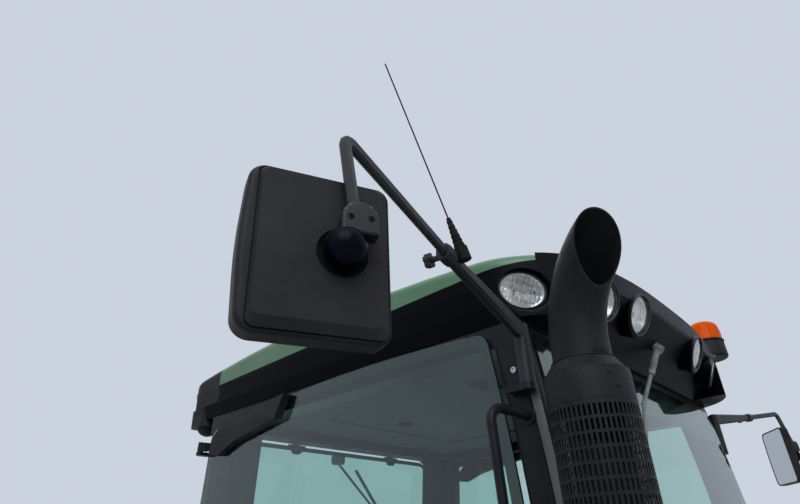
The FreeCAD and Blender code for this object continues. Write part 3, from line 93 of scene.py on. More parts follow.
def seen_or_lit(tree, seen, lit, target):
    """Mix two shaders: one for what camera, gloss and glass see, one for the light that surfaces get."""
    path = tree.nodes.new("ShaderNodeLightPath")
    factor = path.outputs["Is Camera Ray"]
    for ray in ("Is Glossy Ray", "Is Transmission Ray"):
        either = tree.nodes.new("ShaderNodeMath")
        either.operation = "MAXIMUM"
        tree.links.new(factor, either.inputs[0])
        tree.links.new(path.outputs[ray], either.inputs[1])
        factor = either.outputs[0]
    mix = tree.nodes.new("ShaderNodeMixShader")
    tree.links.new(factor, mix.inputs["Fac"])
    tree.links.new(lit, mix.inputs[1])
    tree.links.new(seen, mix.inputs[2])
    tree.links.new(mix.outputs[0], target)


def make_world():
    world = bpy.data.worlds.new("sky")
    world.use_nodes = True
    tree = world.node_tree
    tree.nodes.clear()
    out = tree.nodes.new("ShaderNodeOutputWorld")
    seen = tree.nodes.new("ShaderNodeBackground")
    seen.inputs["Color"].default_value = (*SKY, 1)
    seen.inputs["Strength"].default_value = 1.0
    lit = tree.nodes.new("ShaderNodeBackground")
    lit.inputs["Color"].default_value = (*SKY_LIGHT, 1)
    lit.inputs["Strength"].default_value = SKY_LIGHT_POWER
    seen_or_lit(tree, seen.outputs[0], lit.outputs[0], out.inputs["Surface"])
    bpy.context.scene.world = world


def area_light(name, place, target, size, power):
    data = bpy.data.lights.new(name, "AREA")
    data.size = size
    data.energy = power
    light = bpy.data.objects.new(name, data)
    light.location = place
    light.rotation_euler = (Vector(target) - Vector(place)).to_track_quat("-Z", "Y").to_euler()
    bpy.context.scene.collection.objects.link(light)


class Shader:
    """One material's node tree. Textures use object coordinates, which are metres on every piece."""

    def __init__(self, name):
        self.material = bpy.data.materials.new(name)
        self.material.use_nodes = True
        self.tree = self.material.node_tree
        self.base = self.tree.nodes["Principled BSDF"]
        self.spot = self.tree.nodes.new("ShaderNodeTexCoord").outputs["Object"]

    def set(self, **values):
        for key, value in values.items():
            self.base.inputs[key.replace("_", " ")].default_value = value
        return self

    def moved(self, stretch):
        mapping = self.tree.nodes.new("ShaderNodeMapping")
        mapping.inputs["Scale"].default_value = stretch
        self.tree.links.new(self.spot, mapping.inputs["Vector"])
        return mapping.outputs["Vector"]

    def noise(self, scale, detail=4.0, roughness=0.55, stretch=(1, 1, 1)):
        node = self.tree.nodes.new("ShaderNodeTexNoise")
        node.inputs["Scale"].default_value = scale
        node.inputs["Detail"].default_value = detail
        node.inputs["Roughness"].default_value = roughness
        self.tree.links.new(self.moved(stretch), node.inputs["Vector"])
        return node.outputs["Fac"]

    def wave(self, scale, direction, distortion):
        node = self.tree.nodes.new("ShaderNodeTexWave")
        node.bands_direction = direction
        node.inputs["Scale"].default_value = scale
        node.inputs["Distortion"].default_value = distortion
        self.tree.links.new(self.spot, node.inputs["Vector"])
        return node.outputs["Fac"]

    def cells(self, scale):
        node = self.tree.nodes.new("ShaderNodeTexVoronoi")
        node.inputs["Scale"].default_value = scale
        self.tree.links.new(self.spot, node.inputs["Vector"])
        return node.outputs["Distance"]

    def maths(self, operation, first, second):
        node = self.tree.nodes.new("ShaderNodeMath")
        node.operation = operation
        for slot, value in zip(node.inputs, (first, second)):
            if isinstance(value, (int, float)):
                slot.default_value = value
            else:
                self.tree.links.new(value, slot)
        return node.outputs[0]

    def ramp(self, factor, low, high, low_at=0.35, high_at=0.65):
        node = self.tree.nodes.new("ShaderNodeValToRGB")
        node.color_ramp.elements[0].position = low_at
        node.color_ramp.elements[1].position = high_at
        node.color_ramp.elements[0].color = (*low, 1)
        node.color_ramp.elements[1].color = (*high, 1)
        self.tree.links.new(factor, node.inputs["Fac"])
        return node.outputs["Color"]

    def mix(self, factor, first, second):
        node = self.tree.nodes.new("ShaderNodeMix")
        node.data_type = "RGBA"
        self.tree.links.new(factor, node.inputs[0])
        self.tree.links.new(first, node.inputs[6])
        self.tree.links.new(second, node.inputs[7])
        return node.outputs[2]

    def facing(self, axis):
        """How far the surface looks along an axis, from its normal."""
        split = self.tree.nodes.new("ShaderNodeSeparateXYZ")
        normal = self.tree.nodes.new("ShaderNodeNewGeometry").outputs["Normal"]
        self.tree.links.new(normal, split.inputs[0])
        return split.outputs[axis]

    def spread(self, factor, low, high):
        node = self.tree.nodes.new("ShaderNodeMapRange")
        node.inputs["To Min"].default_value = low
        node.inputs["To Max"].default_value = high
        self.tree.links.new(factor, node.inputs["Value"])
        return node.outputs["Result"]

    def colour(self, output):
        self.tree.links.new(output, self.base.inputs["Base Color"])
        return self

    def rough(self, factor, low, high):
        self.tree.links.new(self.spread(factor, low, high), self.base.inputs["Roughness"])
        return self

    def bump(self, height, strength, distance=0.001):
        node = self.tree.nodes.new("ShaderNodeBump")
        node.inputs["Strength"].default_value = strength
        node.inputs["Distance"].default_value = distance
        self.tree.links.new(height, node.inputs["Height"])
        self.tree.links.new(node.outputs["Normal"], self.base.inputs["Normal"])
        return self


def make_floor():
    mesh = bpy.data.meshes.new("floor")
    half = FLOOR_HALF
    corners = [(-half, -half, 0), (half, -half, 0), (half, half, 0), (-half, half, 0)]
    mesh.from_pydata(corners, [], [(0, 1, 2, 3)])
    floor = bpy.data.objects.new("floor", mesh)
    bpy.context.scene.collection.objects.link(floor)
    s = Shader("floor_grey")
    s.colour(s.ramp(s.noise(3), FLOOR_SEEN, tuple(c * FLOOR_MOTTLE for c in FLOOR_SEEN)))
    s.rough(s.noise(5), 0.8, 0.9)
    lit = s.tree.nodes.new("ShaderNodeBsdfDiffuse")
    lit.inputs["Color"].default_value = (*FLOOR_LIT, 1)
    out = s.tree.nodes["Material Output"]
    seen_or_lit(s.tree, s.base.outputs[0], lit.outputs[0], out.inputs["Surface"])
    mesh.materials.append(s.material)


def black_paint():
    s = Shader("black_paint").set(Specular_IOR_Level=0.2)
    s.colour(s.ramp(s.noise(9), (0.005, 0.006, 0.008), (0.012, 0.013, 0.015)))
    return s.rough(s.noise(30), 0.28, 0.5).bump(s.noise(260, 2), 0.12, 0.0004).material


def arm_paint():
    s = Shader("arm_paint").set(Specular_IOR_Level=0.35)
    s.colour(s.ramp(s.noise(20, 5), (0.007, 0.009, 0.011), (0.015, 0.017, 0.020)))
    return s.rough(s.noise(70, 4), 0.4, 0.58).bump(s.noise(400, 3), 0.15, 0.0003).material


def stack_steel():
    s = Shader("stack_steel").set(Specular_IOR_Level=0.14)
    sooty = s.ramp(s.noise(14, 6), (0.005, 0.006, 0.008), (0.010, 0.012, 0.014))
    # Fine dust, paler than the soot, in noise patches.
    lighter_tone = s.ramp(s.noise(160, 5), (0.012, 0.013, 0.015), (0.026, 0.027, 0.029))
    s.colour(s.mix(s.spread(s.noise(22, 7, 0.7), 0.0, 0.9), sooty, lighter_tone))
    return s.rough(s.noise(40, 5), 0.42, 0.62).bump(s.noise(900, 3), 0.3, 0.0005).material


def black_moulding():
    s = Shader("black_moulding").set(Specular_IOR_Level=0.16)
    s.colour(s.ramp(s.noise(12), (0.013, 0.0135, 0.016), (0.020, 0.0205, 0.023)))
    return s.rough(s.noise(60), 0.45, 0.6).bump(s.cells(900), 0.12, 0.0002).material


def gloss_black():
    s = Shader("gloss_black").set(Specular_IOR_Level=0.05)
    darker_tone = s.ramp(s.noise(6), (0.0004, 0.001, 0.0018), (0.001, 0.0018, 0.0026))
    # Painted sheen: faces that look forward, along X, get a lighter black, as if they reflected the sky;
    # noise patches mix it with the darker black.
    lighter_tone = s.ramp(s.facing("X"), (0.0012, 0.002, 0.003), (0.012, 0.0135, 0.016), 0.45, 0.95)
    s.colour(s.mix(s.spread(s.noise(9, 6, 0.65), 0.55, 1.0), darker_tone, lighter_tone))
    return s.rough(s.noise(20), 0.3, 0.48).bump(s.noise(50, 2), 0.06, 0.0006).material


def gloss_ball():
    s = Shader("gloss_ball").set(Specular_IOR_Level=0.06)
    s.colour(s.ramp(s.noise(30), (0.0008, 0.0015, 0.005), (0.002, 0.003, 0.009)))
    return s.rough(s.noise(60), 0.2, 0.35).material


def green_shell():
    s = Shader("green_shell").set(Coat_Weight=0.6, Coat_Roughness=0.28, Specular_IOR_Level=0.35)
    fresh = s.ramp(s.noise(3.5, 6, 0.6), (0.036, 0.120, 0.050), (0.058, 0.170, 0.075), 0.3, 0.7)
    # Pale chalky green: real chalking in noise patches, and painted sheen on faces that look up.
    chalk_and_sheen = s.ramp(s.noise(60, 5, 0.7), (0.17, 0.27, 0.20), (0.24, 0.34, 0.26), 0.3, 0.8)
    up = s.facing("Z")
    patches = s.maths("MULTIPLY", s.noise(7, 8, 0.65, (0.5, 1, 1)), 0.45)
    # Painted sheen: the more a face looks up, the paler it is painted, as if it reflected the sky.
    upward_sheen = s.spread(s.maths("MULTIPLY", up, up), -0.15, 0.85)
    s.colour(s.mix(s.maths("ADD", patches, upward_sheen), fresh, chalk_and_sheen))
    return s.rough(s.noise(18, 5), 0.34, 0.6).bump(s.noise(120, 3), 0.1, 0.0006).material


def cab_glass():
    s = Shader("cab_glass").set(Transmission_Weight=1.0, IOR=1.5, Specular_IOR_Level=0.35)
    s.set(Base_Color=(0.58, 0.77, 0.71, 1))
    return s.rough(s.noise(7), 0.0, 0.02).material


def glass_border():
    s = Shader("glass_border")
    s.colour(s.ramp(s.noise(20), (0.004, 0.007, 0.006), (0.008, 0.011, 0.010)))
    return s.rough(s.noise(80), 0.35, 0.5).material


def pane_edge():
    s = Shader("pane_edge").set(Specular_IOR_Level=0.5)
    s.colour(s.ramp(s.noise(12), (0.105, 0.118, 0.130), (0.130, 0.142, 0.155)))
    return s.rough(s.noise(30), 0.18, 0.3).material


def lamp_lens():
    s = Shader("lamp_lens").set(Transmission_Weight=1.0, IOR=1.45, Base_Color=(0.97, 0.98, 0.98, 1))
    return s.rough(s.noise(40), 0.04, 0.14).material


def reflector():
    s = Shader("reflector").set(Metallic=0.85)
    s.colour(s.ramp(s.noise(90, 3), (0.80, 0.81, 0.80), (0.92, 0.93, 0.92)))
    return s.rough(s.noise(60), 0.25, 0.45).bump(s.cells(120), 0.3, 0.002).material


def lamp_cup():
    s = Shader("lamp_cup")
    s.colour(s.ramp(s.noise(30), (0.006, 0.006, 0.007), (0.012, 0.012, 0.013)))
    return s.rough(s.noise(80), 0.3, 0.5).material


def amber_lens():
    s = Shader("amber_lens").set(Transmission_Weight=0.05, IOR=1.45, Specular_IOR_Level=0.08)
    s.colour(s.ramp(s.noise(20), (0.66, 0.080, 0.0005), (0.85, 0.115, 0.001)))
    return s.rough(s.noise(60), 0.12, 0.25).material


def rubber_black():
    s = Shader("rubber_black").set(Specular_IOR_Level=0.12)
    s.colour(s.ramp(s.noise(25), (0.005, 0.005, 0.006), (0.014, 0.014, 0.015)))
    return s.rough(s.noise(90), 0.6, 0.8).bump(s.noise(700, 3), 0.25, 0.0004).material


def mirror_surface():
    s = Shader("mirror_surface").set(Metallic=1.0, Base_Color=(0.52, 0.54, 0.55, 1))
    return s.rough(s.noise(8), 0.01, 0.035).material


def wiper_grey():
    s = Shader("wiper_grey").set(Specular_IOR_Level=0.5)
    s.colour(s.ramp(s.noise(35, 5), (0.13, 0.135, 0.14), (0.26, 0.265, 0.27)))
    return s.rough(s.noise(60), 0.35, 0.55).bump(s.noise(500, 3), 0.2, 0.0003).material


def screw_steel():
    s = Shader("screw_steel").set(Metallic=0.9)
    s.colour(s.ramp(s.noise(200, 3), (0.45, 0.46, 0.47), (0.66, 0.67, 0.68)))
    return s.rough(s.noise(300), 0.3, 0.5).material


def trim_grey():
    s = Shader("trim_grey").set(Specular_IOR_Level=0.25)
    s.colour(s.ramp(s.noise(8), (0.050, 0.054, 0.052), (0.075, 0.079, 0.076)))
    return s.rough(s.noise(50), 0.65, 0.85).bump(s.noise(700, 3), 0.2, 0.0004).material


def headliner_cloth():
    s = Shader("headliner_cloth").set(Sheen_Weight=0.2)
    s.colour(s.ramp(s.noise(700, 3), (0.055, 0.060, 0.057), (0.080, 0.086, 0.082)))
    return s.rough(s.noise(300), 0.85, 0.98).bump(s.noise(1100, 3), 0.5, 0.0008).material


def seat_fabric():
    s = Shader("seat_fabric").set(Sheen_Weight=0.3)
    weave = s.maths("MULTIPLY", s.wave(260, "X", 0.4), s.wave(260, "Y", 0.4))
    s.colour(s.mix(weave, s.ramp(s.noise(420, 3), (0.016, 0.017, 0.019), (0.03, 0.031, 0.034)),
                   s.ramp(s.noise(15), (0.045, 0.047, 0.05), (0.07, 0.072, 0.078))))
    return s.rough(s.noise(200), 0.8, 0.95).bump(weave, 0.5, 0.0006).material


def screen_glass():
    s = Shader("screen_glass").set(Coat_Weight=0.6)
    s.colour(s.ramp(s.noise(3), (0.006, 0.010, 0.014), (0.012, 0.018, 0.024)))
    return s.rough(s.noise(30), 0.08, 0.16).material


def red_lens():
    s = Shader("red_lens").set(Coat_Weight=0.4)
    s.colour(s.ramp(s.noise(90), (0.30, 0.02, 0.025), (0.42, 0.05, 0.055)))
    return s.rough(s.noise(60), 0.2, 0.35).material


MATERIALS = {make.__name__: make() for make in (
    black_paint, arm_paint, stack_steel, black_moulding, gloss_black, gloss_ball, green_shell,
    cab_glass, glass_border, pane_edge, lamp_lens, reflector, lamp_cup, amber_lens, rubber_black,
    mirror_surface, wiper_grey, screw_steel, trim_grey, headliner_cloth, seat_fabric, screen_glass,
    red_lens)}


def dress_nodes():
    """Every carried-over node takes the finish of its slot in the record."""
    for part in frame["record"]["subparts"]:
        data = nodes[part["node"]].data
        data.materials.clear()
        data.materials.append(MATERIALS[part["material_slot"]])
    other = {"headliner": "headliner_cloth"}
    other.update({node: "arm_paint" for node in nodes if node.startswith("mirror_arm")})
    for node, name in other.items():
        nodes[node].data.materials.clear()
        nodes[node].data.materials.append(MATERIALS[name])


# Building helpers

def at(origin, normal, up=Z):
    """Matrix whose Z is the normal and whose Y is as near to up as it can be."""
    z = Vector(normal).normalized()
    x = Vector(up).cross(z).normalized()
    return Matrix.Translation(Vector(origin)) @ Matrix((x, z.cross(x), z)).transposed().to_4x4()


def piece(name, bm, material, body="root", sharp=32):
    """Turn a bmesh into a piece that rides on a body."""
    bmesh.ops.recalc_face_normals(bm, faces=bm.faces)
    limit = math.radians(sharp)
    for face in bm.faces:
        face.smooth = True
    for edge in bm.edges:
        edge.smooth = len(edge.link_faces) == 2 and edge.calc_face_angle() < limit
    mesh = bpy.data.meshes.new(name)
    bm.to_mesh(mesh)
    bm.free()
    mesh.materials.append(MATERIALS[material])
    made = bpy.data.objects.new(name, mesh)
    bpy.context.scene.collection.objects.link(made)
    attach(made, body)
    return made


def shift(x, y, z):
    return Matrix.Translation((x, y, z))


def spin(degrees, axis="Z"):
    return Matrix.Rotation(math.radians(degrees), 4, axis)


def mirrored(place, sign):
    """A place that is given for the left, on the side of the sign."""
    return Vector((place[0], place[1] * sign, place[2]))


def ring_points(r, z, angles):
    return [Vector((r * math.cos(a), r * math.sin(a), z)) for a in angles]


def full_turn(steps):
    return [math.tau * i / steps for i in range(steps)]


def skin(bm, rings, closed=False):
    """Faces between neighbouring rings of vertices; a ring of one vertex is a tip."""
    pairs = list(zip(rings, rings[1:])) + ([(rings[-1], rings[0])] if closed else [])
    for low, high in pairs:
        count = max(len(low), len(high))
        for i in range(count):
            j = (i + 1) % count
            corners = []
            for vert in (low[i % len(low)], low[j % len(low)], high[j % len(high)], high[i % len(high)]):
                if vert not in corners:
                    corners.append(vert)
            bm.faces.new(corners)


def lathe(bm, profile, place, steps=40, squash=(1, 1)):
    """Surface of revolution about the place's Z; the profile is (radius, z), squash makes it oval."""
    place = place @ Matrix.Diagonal((*squash, 1, 1))
    rings = []
    for r, z in profile:
        points = ring_points(r, z, full_turn(steps)) if r > 1e-6 else [Vector((0, 0, z))]
        rings.append([bm.verts.new(place @ point) for point in points])
    skin(bm, rings)


def tube(bm, points, radius, steps=12, closed=False):
    """Round bar along points, with a frame that is carried along without twisting."""
    points = [Vector(p) for p in points]
    count = len(points)
    rings = []
    side = None
    for i, point in enumerate(points):
        before = points[i - 1] if closed or i > 0 else point
        after = points[(i + 1) % count] if closed or i < count - 1 else point
        run = (after - before).normalized()
        side = (Z.cross(run) if abs(run.z) < 0.95 else X.cross(run)) if side is None else side
        side = (side - run * side.dot(run)).normalized()
        other = run.cross(side)
        rings.append([bm.verts.new(point + radius * (math.cos(a) * side + math.sin(a) * other))
                      for a in full_turn(steps)])
    skin(bm, rings, closed)
    if not closed:
        bm.faces.new(rings[0][::-1])
        bm.faces.new(rings[-1])


def slab(bm, size, place, bevel=0.003, segments=3):
    """Box with rounded edges."""
    made = bmesh.ops.create_cube(bm, size=1, matrix=place @ Matrix.Diagonal((*size, 1)))
    edges = list({e for v in made["verts"] for e in v.link_edges})
    bmesh.ops.bevel(bm, geom=edges, offset=bevel, segments=segments, profile=0.5, affect="EDGES")


def screw(bm, place, radius, height=0.003):
    """Domed head with a hexagon socket."""
    head = ((1, 0), (1, 0.4), (0.86, 0.85), (0.55, 1))
    socket = ((0.55, 1), (0.5, 0.35), (0, 0.3))
    for shares, steps in ((head, 20), (socket, 6)):
        lathe(bm, [(radius * r, height * z) for r, z in shares], place, steps)


def pane_rim(node, axis, width):
    """A pane's face on one side, and the band of its faces that lies within a width of the edge."""
    bm = bmesh.new()
    bm.from_mesh(nodes[node].data)
    bmesh.ops.delete(bm, geom=[f for f in bm.faces if f.normal.dot(axis) < 0.7], context="FACES")
    bmesh.ops.remove_doubles(bm, verts=bm.verts, dist=1e-5)
    bmesh.ops.dissolve_limit(bm, angle_limit=math.radians(0.3), verts=bm.verts, edges=bm.edges)
    band = bmesh.ops.inset_region(bm, faces=bm.faces, thickness=width, use_even_offset=True,
                                  use_boundary=True)
    return bm, set(band["faces"])


def border(name, node, axis, width, body):
    """Dark printed band round a pane."""
    bm, band = pane_rim(node, axis, width)
    bmesh.ops.delete(bm, geom=[f for f in bm.faces if f not in band], context="FACES")
    bmesh.ops.translate(bm, vec=axis * BORDER_LIFT, verts=bm.verts)
    piece(name, bm, "glass_border", body)


def inner_loop(node, axis, width):
    """Points of the line that runs a distance inside a pane's edge."""
    bm, band = pane_rim(node, axis, width)
    bmesh.ops.delete(bm, geom=list(band), context="FACES")
    edges = [e for e in bm.edges if len(e.link_faces) == 1]
    start = edges[0].verts[0]
    follow = {}
    for edge in edges:
        for vert in edge.verts:
            follow.setdefault(vert, []).append(edge.other_vert(vert))
    points = [start.co.copy()]
    last, here = start, follow[start][0]
    while here != start:
        points.append(here.co.copy())
        last, here = here, next(v for v in follow[here] if v != last)
    bm.free()
    return points


# Guard round the exhaust stack: a sleeve with rows of narrow slots, a rolled shoulder and a coned neck
STACK = Vector((0.851, -0.802, 0))
GUARD_R = 0.088
SLOT_COLUMNS = 56
SLOT_ROWS = 31
SLOT_PITCH = 0.0265
SLOT_TALL = 0.021
SLOT_WIDE = 0.005
SLOT_FIRST = 0.5265
GUARD_FOOT = 0.520
GUARD_WALL = 0.0026
GUARD_TOP = (  # z, radius
    (1.412, GUARD_R), (1.4162, GUARD_R - 0.0012), (1.419, GUARD_R - 0.004), (1.446, 0.0642),
)
GUARD_BEADS = (  # radius, z, thickness
    (GUARD_R - 0.0022, 1.4165, 0.0016), (0.0655, 1.4455, 0.0015), (GUARD_R, 1.3545, 0.0008),
)
GUARD_RIVETS = ((-37, 1.402), (-27, 1.375))  # turn in degrees, z
RIVET = ((0.0042, -0.001), (0.004, 0.0012), (0.0022, 0.0024), (0, 0.0027))


def guard():
    bm = bmesh.new()
    levels = [(GUARD_FOOT, GUARD_R)]
    slot_starts = set()
    for row in range(SLOT_ROWS):
        low = SLOT_FIRST + row * SLOT_PITCH
        slot_starts.add(len(levels))
        levels += [(low, GUARD_R), (low + SLOT_TALL, GUARD_R)]
    levels += GUARD_TOP
    half = SLOT_WIDE / 2 / GUARD_R
    angles = [middle + off for middle in full_turn(SLOT_COLUMNS) for off in (-half, half)]
    rings = [[bm.verts.new(STACK + point) for point in ring_points(r, z, angles)] for z, r in levels]
    for level in range(len(rings) - 1):
        for i in range(len(angles)):
            if level in slot_starts and i % 2 == 0:
                continue
            j = (i + 1) % len(angles)
            bm.faces.new((rings[level][i], rings[level][j], rings[level + 1][j], rings[level + 1][i]))
    made = piece("guard_sleeve", bm, "stack_steel", sharp=50)
    wall = made.modifiers.new("wall", "SOLIDIFY")
    wall.thickness = GUARD_WALL
    wall.offset = -1
    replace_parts(made, "stack_guard")
    bm = bmesh.new()
    for turn, z in GUARD_RIVETS:
        out = ring_points(GUARD_R, 0, [math.radians(turn)])[0]
        lathe(bm, RIVET, at(STACK + out + Z * z, out), 14)
    piece("guard_rivets", bm, "stack_steel")
    bm = bmesh.new()
    for r, z, thick in GUARD_BEADS:
        tube(bm, [STACK + point for point in ring_points(r, z, full_turn(90))], thick, 8, True)
    piece("guard_beads", bm, "stack_steel")


# Work lamps, from part.py: behind the roof's front, y, below the roof's bottom edge, turn outwards
ROOF_FRONT = 0.843
ROOF_BOTTOM = 1.750
WORK_LAMPS = ((0.015, 0.267, 0.037, 4), (0.031, 0.491, 0.052, 14))
LAMP_R = 0.056
LAMP_PITCH = 24
LENS_THICK = 0.004
LENS_DROP = 0.0005
LENS_OVER = 0.0016
LAMP_DOME = 0.006
LAMP_RIBS = (13, 0.0009)  # across the lens, depth
LAMP_CUP = (  # radius, z
    (0, -0.088), (0.042, -0.088), (0.063, -0.058), (0.063, 0.005), (0.0622, 0.006),
    (0.0590, 0.006), (0.0580, 0.0045), (0.0580, -0.004), (0.0545, -0.010),
)
LAMP_BULB = ((0, -0.018), (0.006, -0.019), (0.009, -0.024), (0.009, -0.052))
BOWL_R = 0.0545
BOWL_FACE = -0.010
BOWL_DEEP = 0.042
CROSS_BARS = 5
CROSS_SHARE = 0.4  # the bars' depth, as a share of the flutes'


def lamp_direction(pitch, turn, sign):
    """Way a lamp looks, pitched down and turned outwards."""
    pitch, turn = math.radians(pitch), math.radians(turn)
    level = math.cos(pitch)
    return Vector((level * math.cos(turn), sign * level * math.sin(turn), -math.sin(pitch)))


def ribbed_bowl(bm, place, half_w, half_h, depth, rows, deep):
    """Reflector pressed with upright flutes and cross bars, as a grid over an oval."""
    steps, rings = 120, 20
    made = []
    for k in range(rings + 1):
        share = k / rings
        ring = []
        for i in range(steps if k else 1):
            a = math.tau * i / steps
            x, y = half_w * share * math.cos(a), half_h * share * math.sin(a)
            flute = abs(math.sin(math.pi * rows * x / (2 * half_w)))
            bar = CROSS_SHARE * abs(math.sin(math.pi * CROSS_BARS * y / (2 * half_h)))
            z = BOWL_FACE - depth * (1 - share ** 2) + deep * (flute + bar) * (1 - share ** 8)
            ring.append(bm.verts.new(place @ Vector((x, y, z))))
        made.append(ring)
    skin(bm, made)


def ribbed_lens(bm, place, half_w, half_h, dome, rows, deep):
    """Closed oval plate with a domed front and a ribbed back."""
    steps, rings = 64, 14
    front, back = [], []
    for k in range(rings + 1):
        share = k / rings
        if k == 0:
            front.append([bm.verts.new(place @ Vector((0, 0, dome)))])
            back.append([bm.verts.new(place @ Vector((0, 0, dome - LENS_THICK)))])
            continue
        ring_front, ring_back = [], []
        for i in range(steps):
            a = math.tau * i / steps
            x, y = half_w * share * math.cos(a), half_h * share * math.sin(a)
            z = dome * (1 - share ** 2)
            rib = deep * math.cos(math.tau * rows * x / (2 * half_w)) * (1 - share ** 6)
            ring_front.append(bm.verts.new(place @ Vector((x, y, z - LENS_DROP))))
            ring_back.append(bm.verts.new(place @ Vector((x, y, z - LENS_THICK + rib))))
        front.append(ring_front)
        back.append(ring_back)
    skin(bm, front)
    skin(bm, back)
    skin(bm, [front[-1], back[-1]])


def work_lamps():
    cups, bowls, bulbs, lens = bmesh.new(), bmesh.new(), bmesh.new(), bmesh.new()
    bowl = [(BOWL_R * math.sqrt(k / 10), BOWL_FACE - BOWL_DEEP * (1 - k / 10)) for k in range(11)]
    lens_r = LAMP_R + LENS_OVER
    for back, y, below, turn in WORK_LAMPS:
        for _, sign in SIDES:
            place = (ROOF_FRONT - back, sign * y, ROOF_BOTTOM - below)
            there = at(place, lamp_direction(LAMP_PITCH, turn, sign))
            lathe(cups, LAMP_CUP, there, 56)
            lathe(bowls, bowl, there, 56)
            lathe(bulbs, LAMP_BULB, there, 20)
            ribbed_lens(lens, there, lens_r, lens_r, LAMP_DOME, *LAMP_RIBS)
    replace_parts(piece("work_lamp_housings", cups, "lamp_cup"), "work_lamps")
    piece("work_lamp_bowls", bowls, "reflector")
    piece("work_lamp_bulbs", bulbs, "lamp_lens")
    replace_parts(piece("work_lamp_fronts", lens, "lamp_lens", sharp=60), "work_lamp_lenses")


# Corner lamps: ovals at the roof's front corners
CORNER_REACH = 0.236
CORNER_TURN = 50
CORNER_PITCH = 14
CORNER_ROLL = 16
CORNER_BELOW = 0.052
CORNER_HALF = (0.060, 0.046)
CORNER_LENS = (0.0585, 0.0445, 0.004, 12, 0.0020)  # half sizes, dome, ribs, their depth
CORNER_BOWL = (0.97, 0.030, 13, 0.006)  # share of the oval, depth, flutes, their depth
ROOF_CORNER = (0.541, 0.535)  # centre of the roof's corner arc
CORNER_CUP = (  # share of the oval, z
    (0, -0.070), (0.67, -0.070), (1.0, -0.030), (1.085, 0.000), (1.085, 0.002), (1.04, 0.003),
    (1.0, 0.001), (0.97, -0.010),
)
STRIP_SIZE = (0.005, 0.026, 0.006)
STRIP_PLACE = (0.020, -0.006, -0.012)


def corner_lamps():
    cups, bowls, lens, strips = bmesh.new(), bmesh.new(), bmesh.new(), bmesh.new()
    turn = math.radians(CORNER_TURN)
    x = ROOF_CORNER[0] + CORNER_REACH * math.cos(turn)
    y = ROOF_CORNER[1] + CORNER_REACH * math.sin(turn)
    share, depth, rows, deep = CORNER_BOWL
    for _, sign in SIDES:
        place = (x, sign * y, ROOF_BOTTOM - CORNER_BELOW)
        there = at(place, lamp_direction(CORNER_PITCH, CORNER_TURN, sign)) @ spin(sign * CORNER_ROLL)
        lathe(cups, CORNER_CUP, there, 64, CORNER_HALF)
        ribbed_bowl(bowls, there, CORNER_HALF[0] * share, CORNER_HALF[1] * share, depth, rows, deep)
        ribbed_lens(lens, there, *CORNER_LENS)
        slab(strips, STRIP_SIZE, there @ shift(STRIP_PLACE[0] * sign, *STRIP_PLACE[1:]), 0.002)
    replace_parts(piece("corner_lamp_housings", cups, "lamp_cup"), "corner_lamps")
    piece("corner_lamp_bowls", bowls, "reflector")
    piece("corner_lamp_strips", strips, "red_lens")
    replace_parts(piece("corner_lamp_fronts", lens, "lamp_lens", sharp=60), "corner_lamp_lenses")


# Windows: printed borders and seals of the panes
DOOR_BORDER = 0.030
WINDSCREEN_BORDER = 0.022
REAR_BORDER = 0.018
BORDER_LIFT = 0.0004
DOOR_SEAL_IN = 0.014
DOOR_SEAL_LIFT = 0.0042
DOOR_SEAL_R = 0.0036


def windows():
    for side, sign in SIDES:
        out = Y * sign
        pane, body = "door_pane_" + side, "door_" + side
        border("door_border_" + side, pane, -out, DOOR_BORDER, body)
        bm = bmesh.new()
        line = [p - out * DOOR_SEAL_LIFT for p in inner_loop(pane, -out, DOOR_SEAL_IN)]
        tube(bm, line, DOOR_SEAL_R, 10, True)
        piece("door_seal_" + side, bm, "rubber_black", body)
    border("windscreen_border", "windscreen", -X, WINDSCREEN_BORDER, "root")
    border("rear_border", "rear_window_pane", X, REAR_BORDER, "rear_window")


# The windscreen's face, an arc about a level axis, from part.py
FRONT_BULGE = 0.7535
FRONT_R = 4.896
FRONT_Z = 0.850


def front_x(z):
    return FRONT_BULGE - FRONT_R + math.sqrt(FRONT_R ** 2 - (z - FRONT_Z) ** 2)


BAND_HALF = 0.700
BAND_LOW = 1.452
BAND_HIGH = 1.572
BAND_ARCH = 0.01575
BAND_ROUND = 0.10
BAND_BEHIND = 0.0068
BAND_GRID = (96, 6)


def top_band():
    """Dark tinted band along the windscreen's top, with rounded lower corners."""
    bm = bmesh.new()
    columns, rows = BAND_GRID
    grid = []
    for i in range(columns + 1):
        y = -BAND_HALF + 2 * BAND_HALF * i / columns
        inset = max(0.0, abs(y) - (BAND_HALF - BAND_ROUND))
        corner = BAND_ROUND - math.sqrt(BAND_ROUND ** 2 - inset ** 2)
        low = BAND_LOW + BAND_ARCH * (1 - (y / BAND_HALF) ** 2) + corner
        heights = [low + (BAND_HIGH - low) * k / rows for k in range(rows + 1)]
        grid.append([bm.verts.new((front_x(z) - BAND_BEHIND, y, z)) for z in heights])
    for left, right in zip(grid, grid[1:]):
        for k in range(rows):
            bm.faces.new((left[k], right[k], right[k + 1], left[k + 1]))
    piece("windscreen_band", bm, "glass_border")


TRIM_LOW = 0.32
TRIM_TALL = 1.17
TRIM_ROWS = 48
TRIM_BACK = 0.036
TRIM_STEP = 0.0040
TRIM_STEPS = 6
TRIM_LIFT = 0.0008
TRIM_SEAL_LIFT = 0.0006
TRIM_SEAL_R = 0.0024
OUTSIDE = 1.2  # start of the rays that find a surface, off the middle


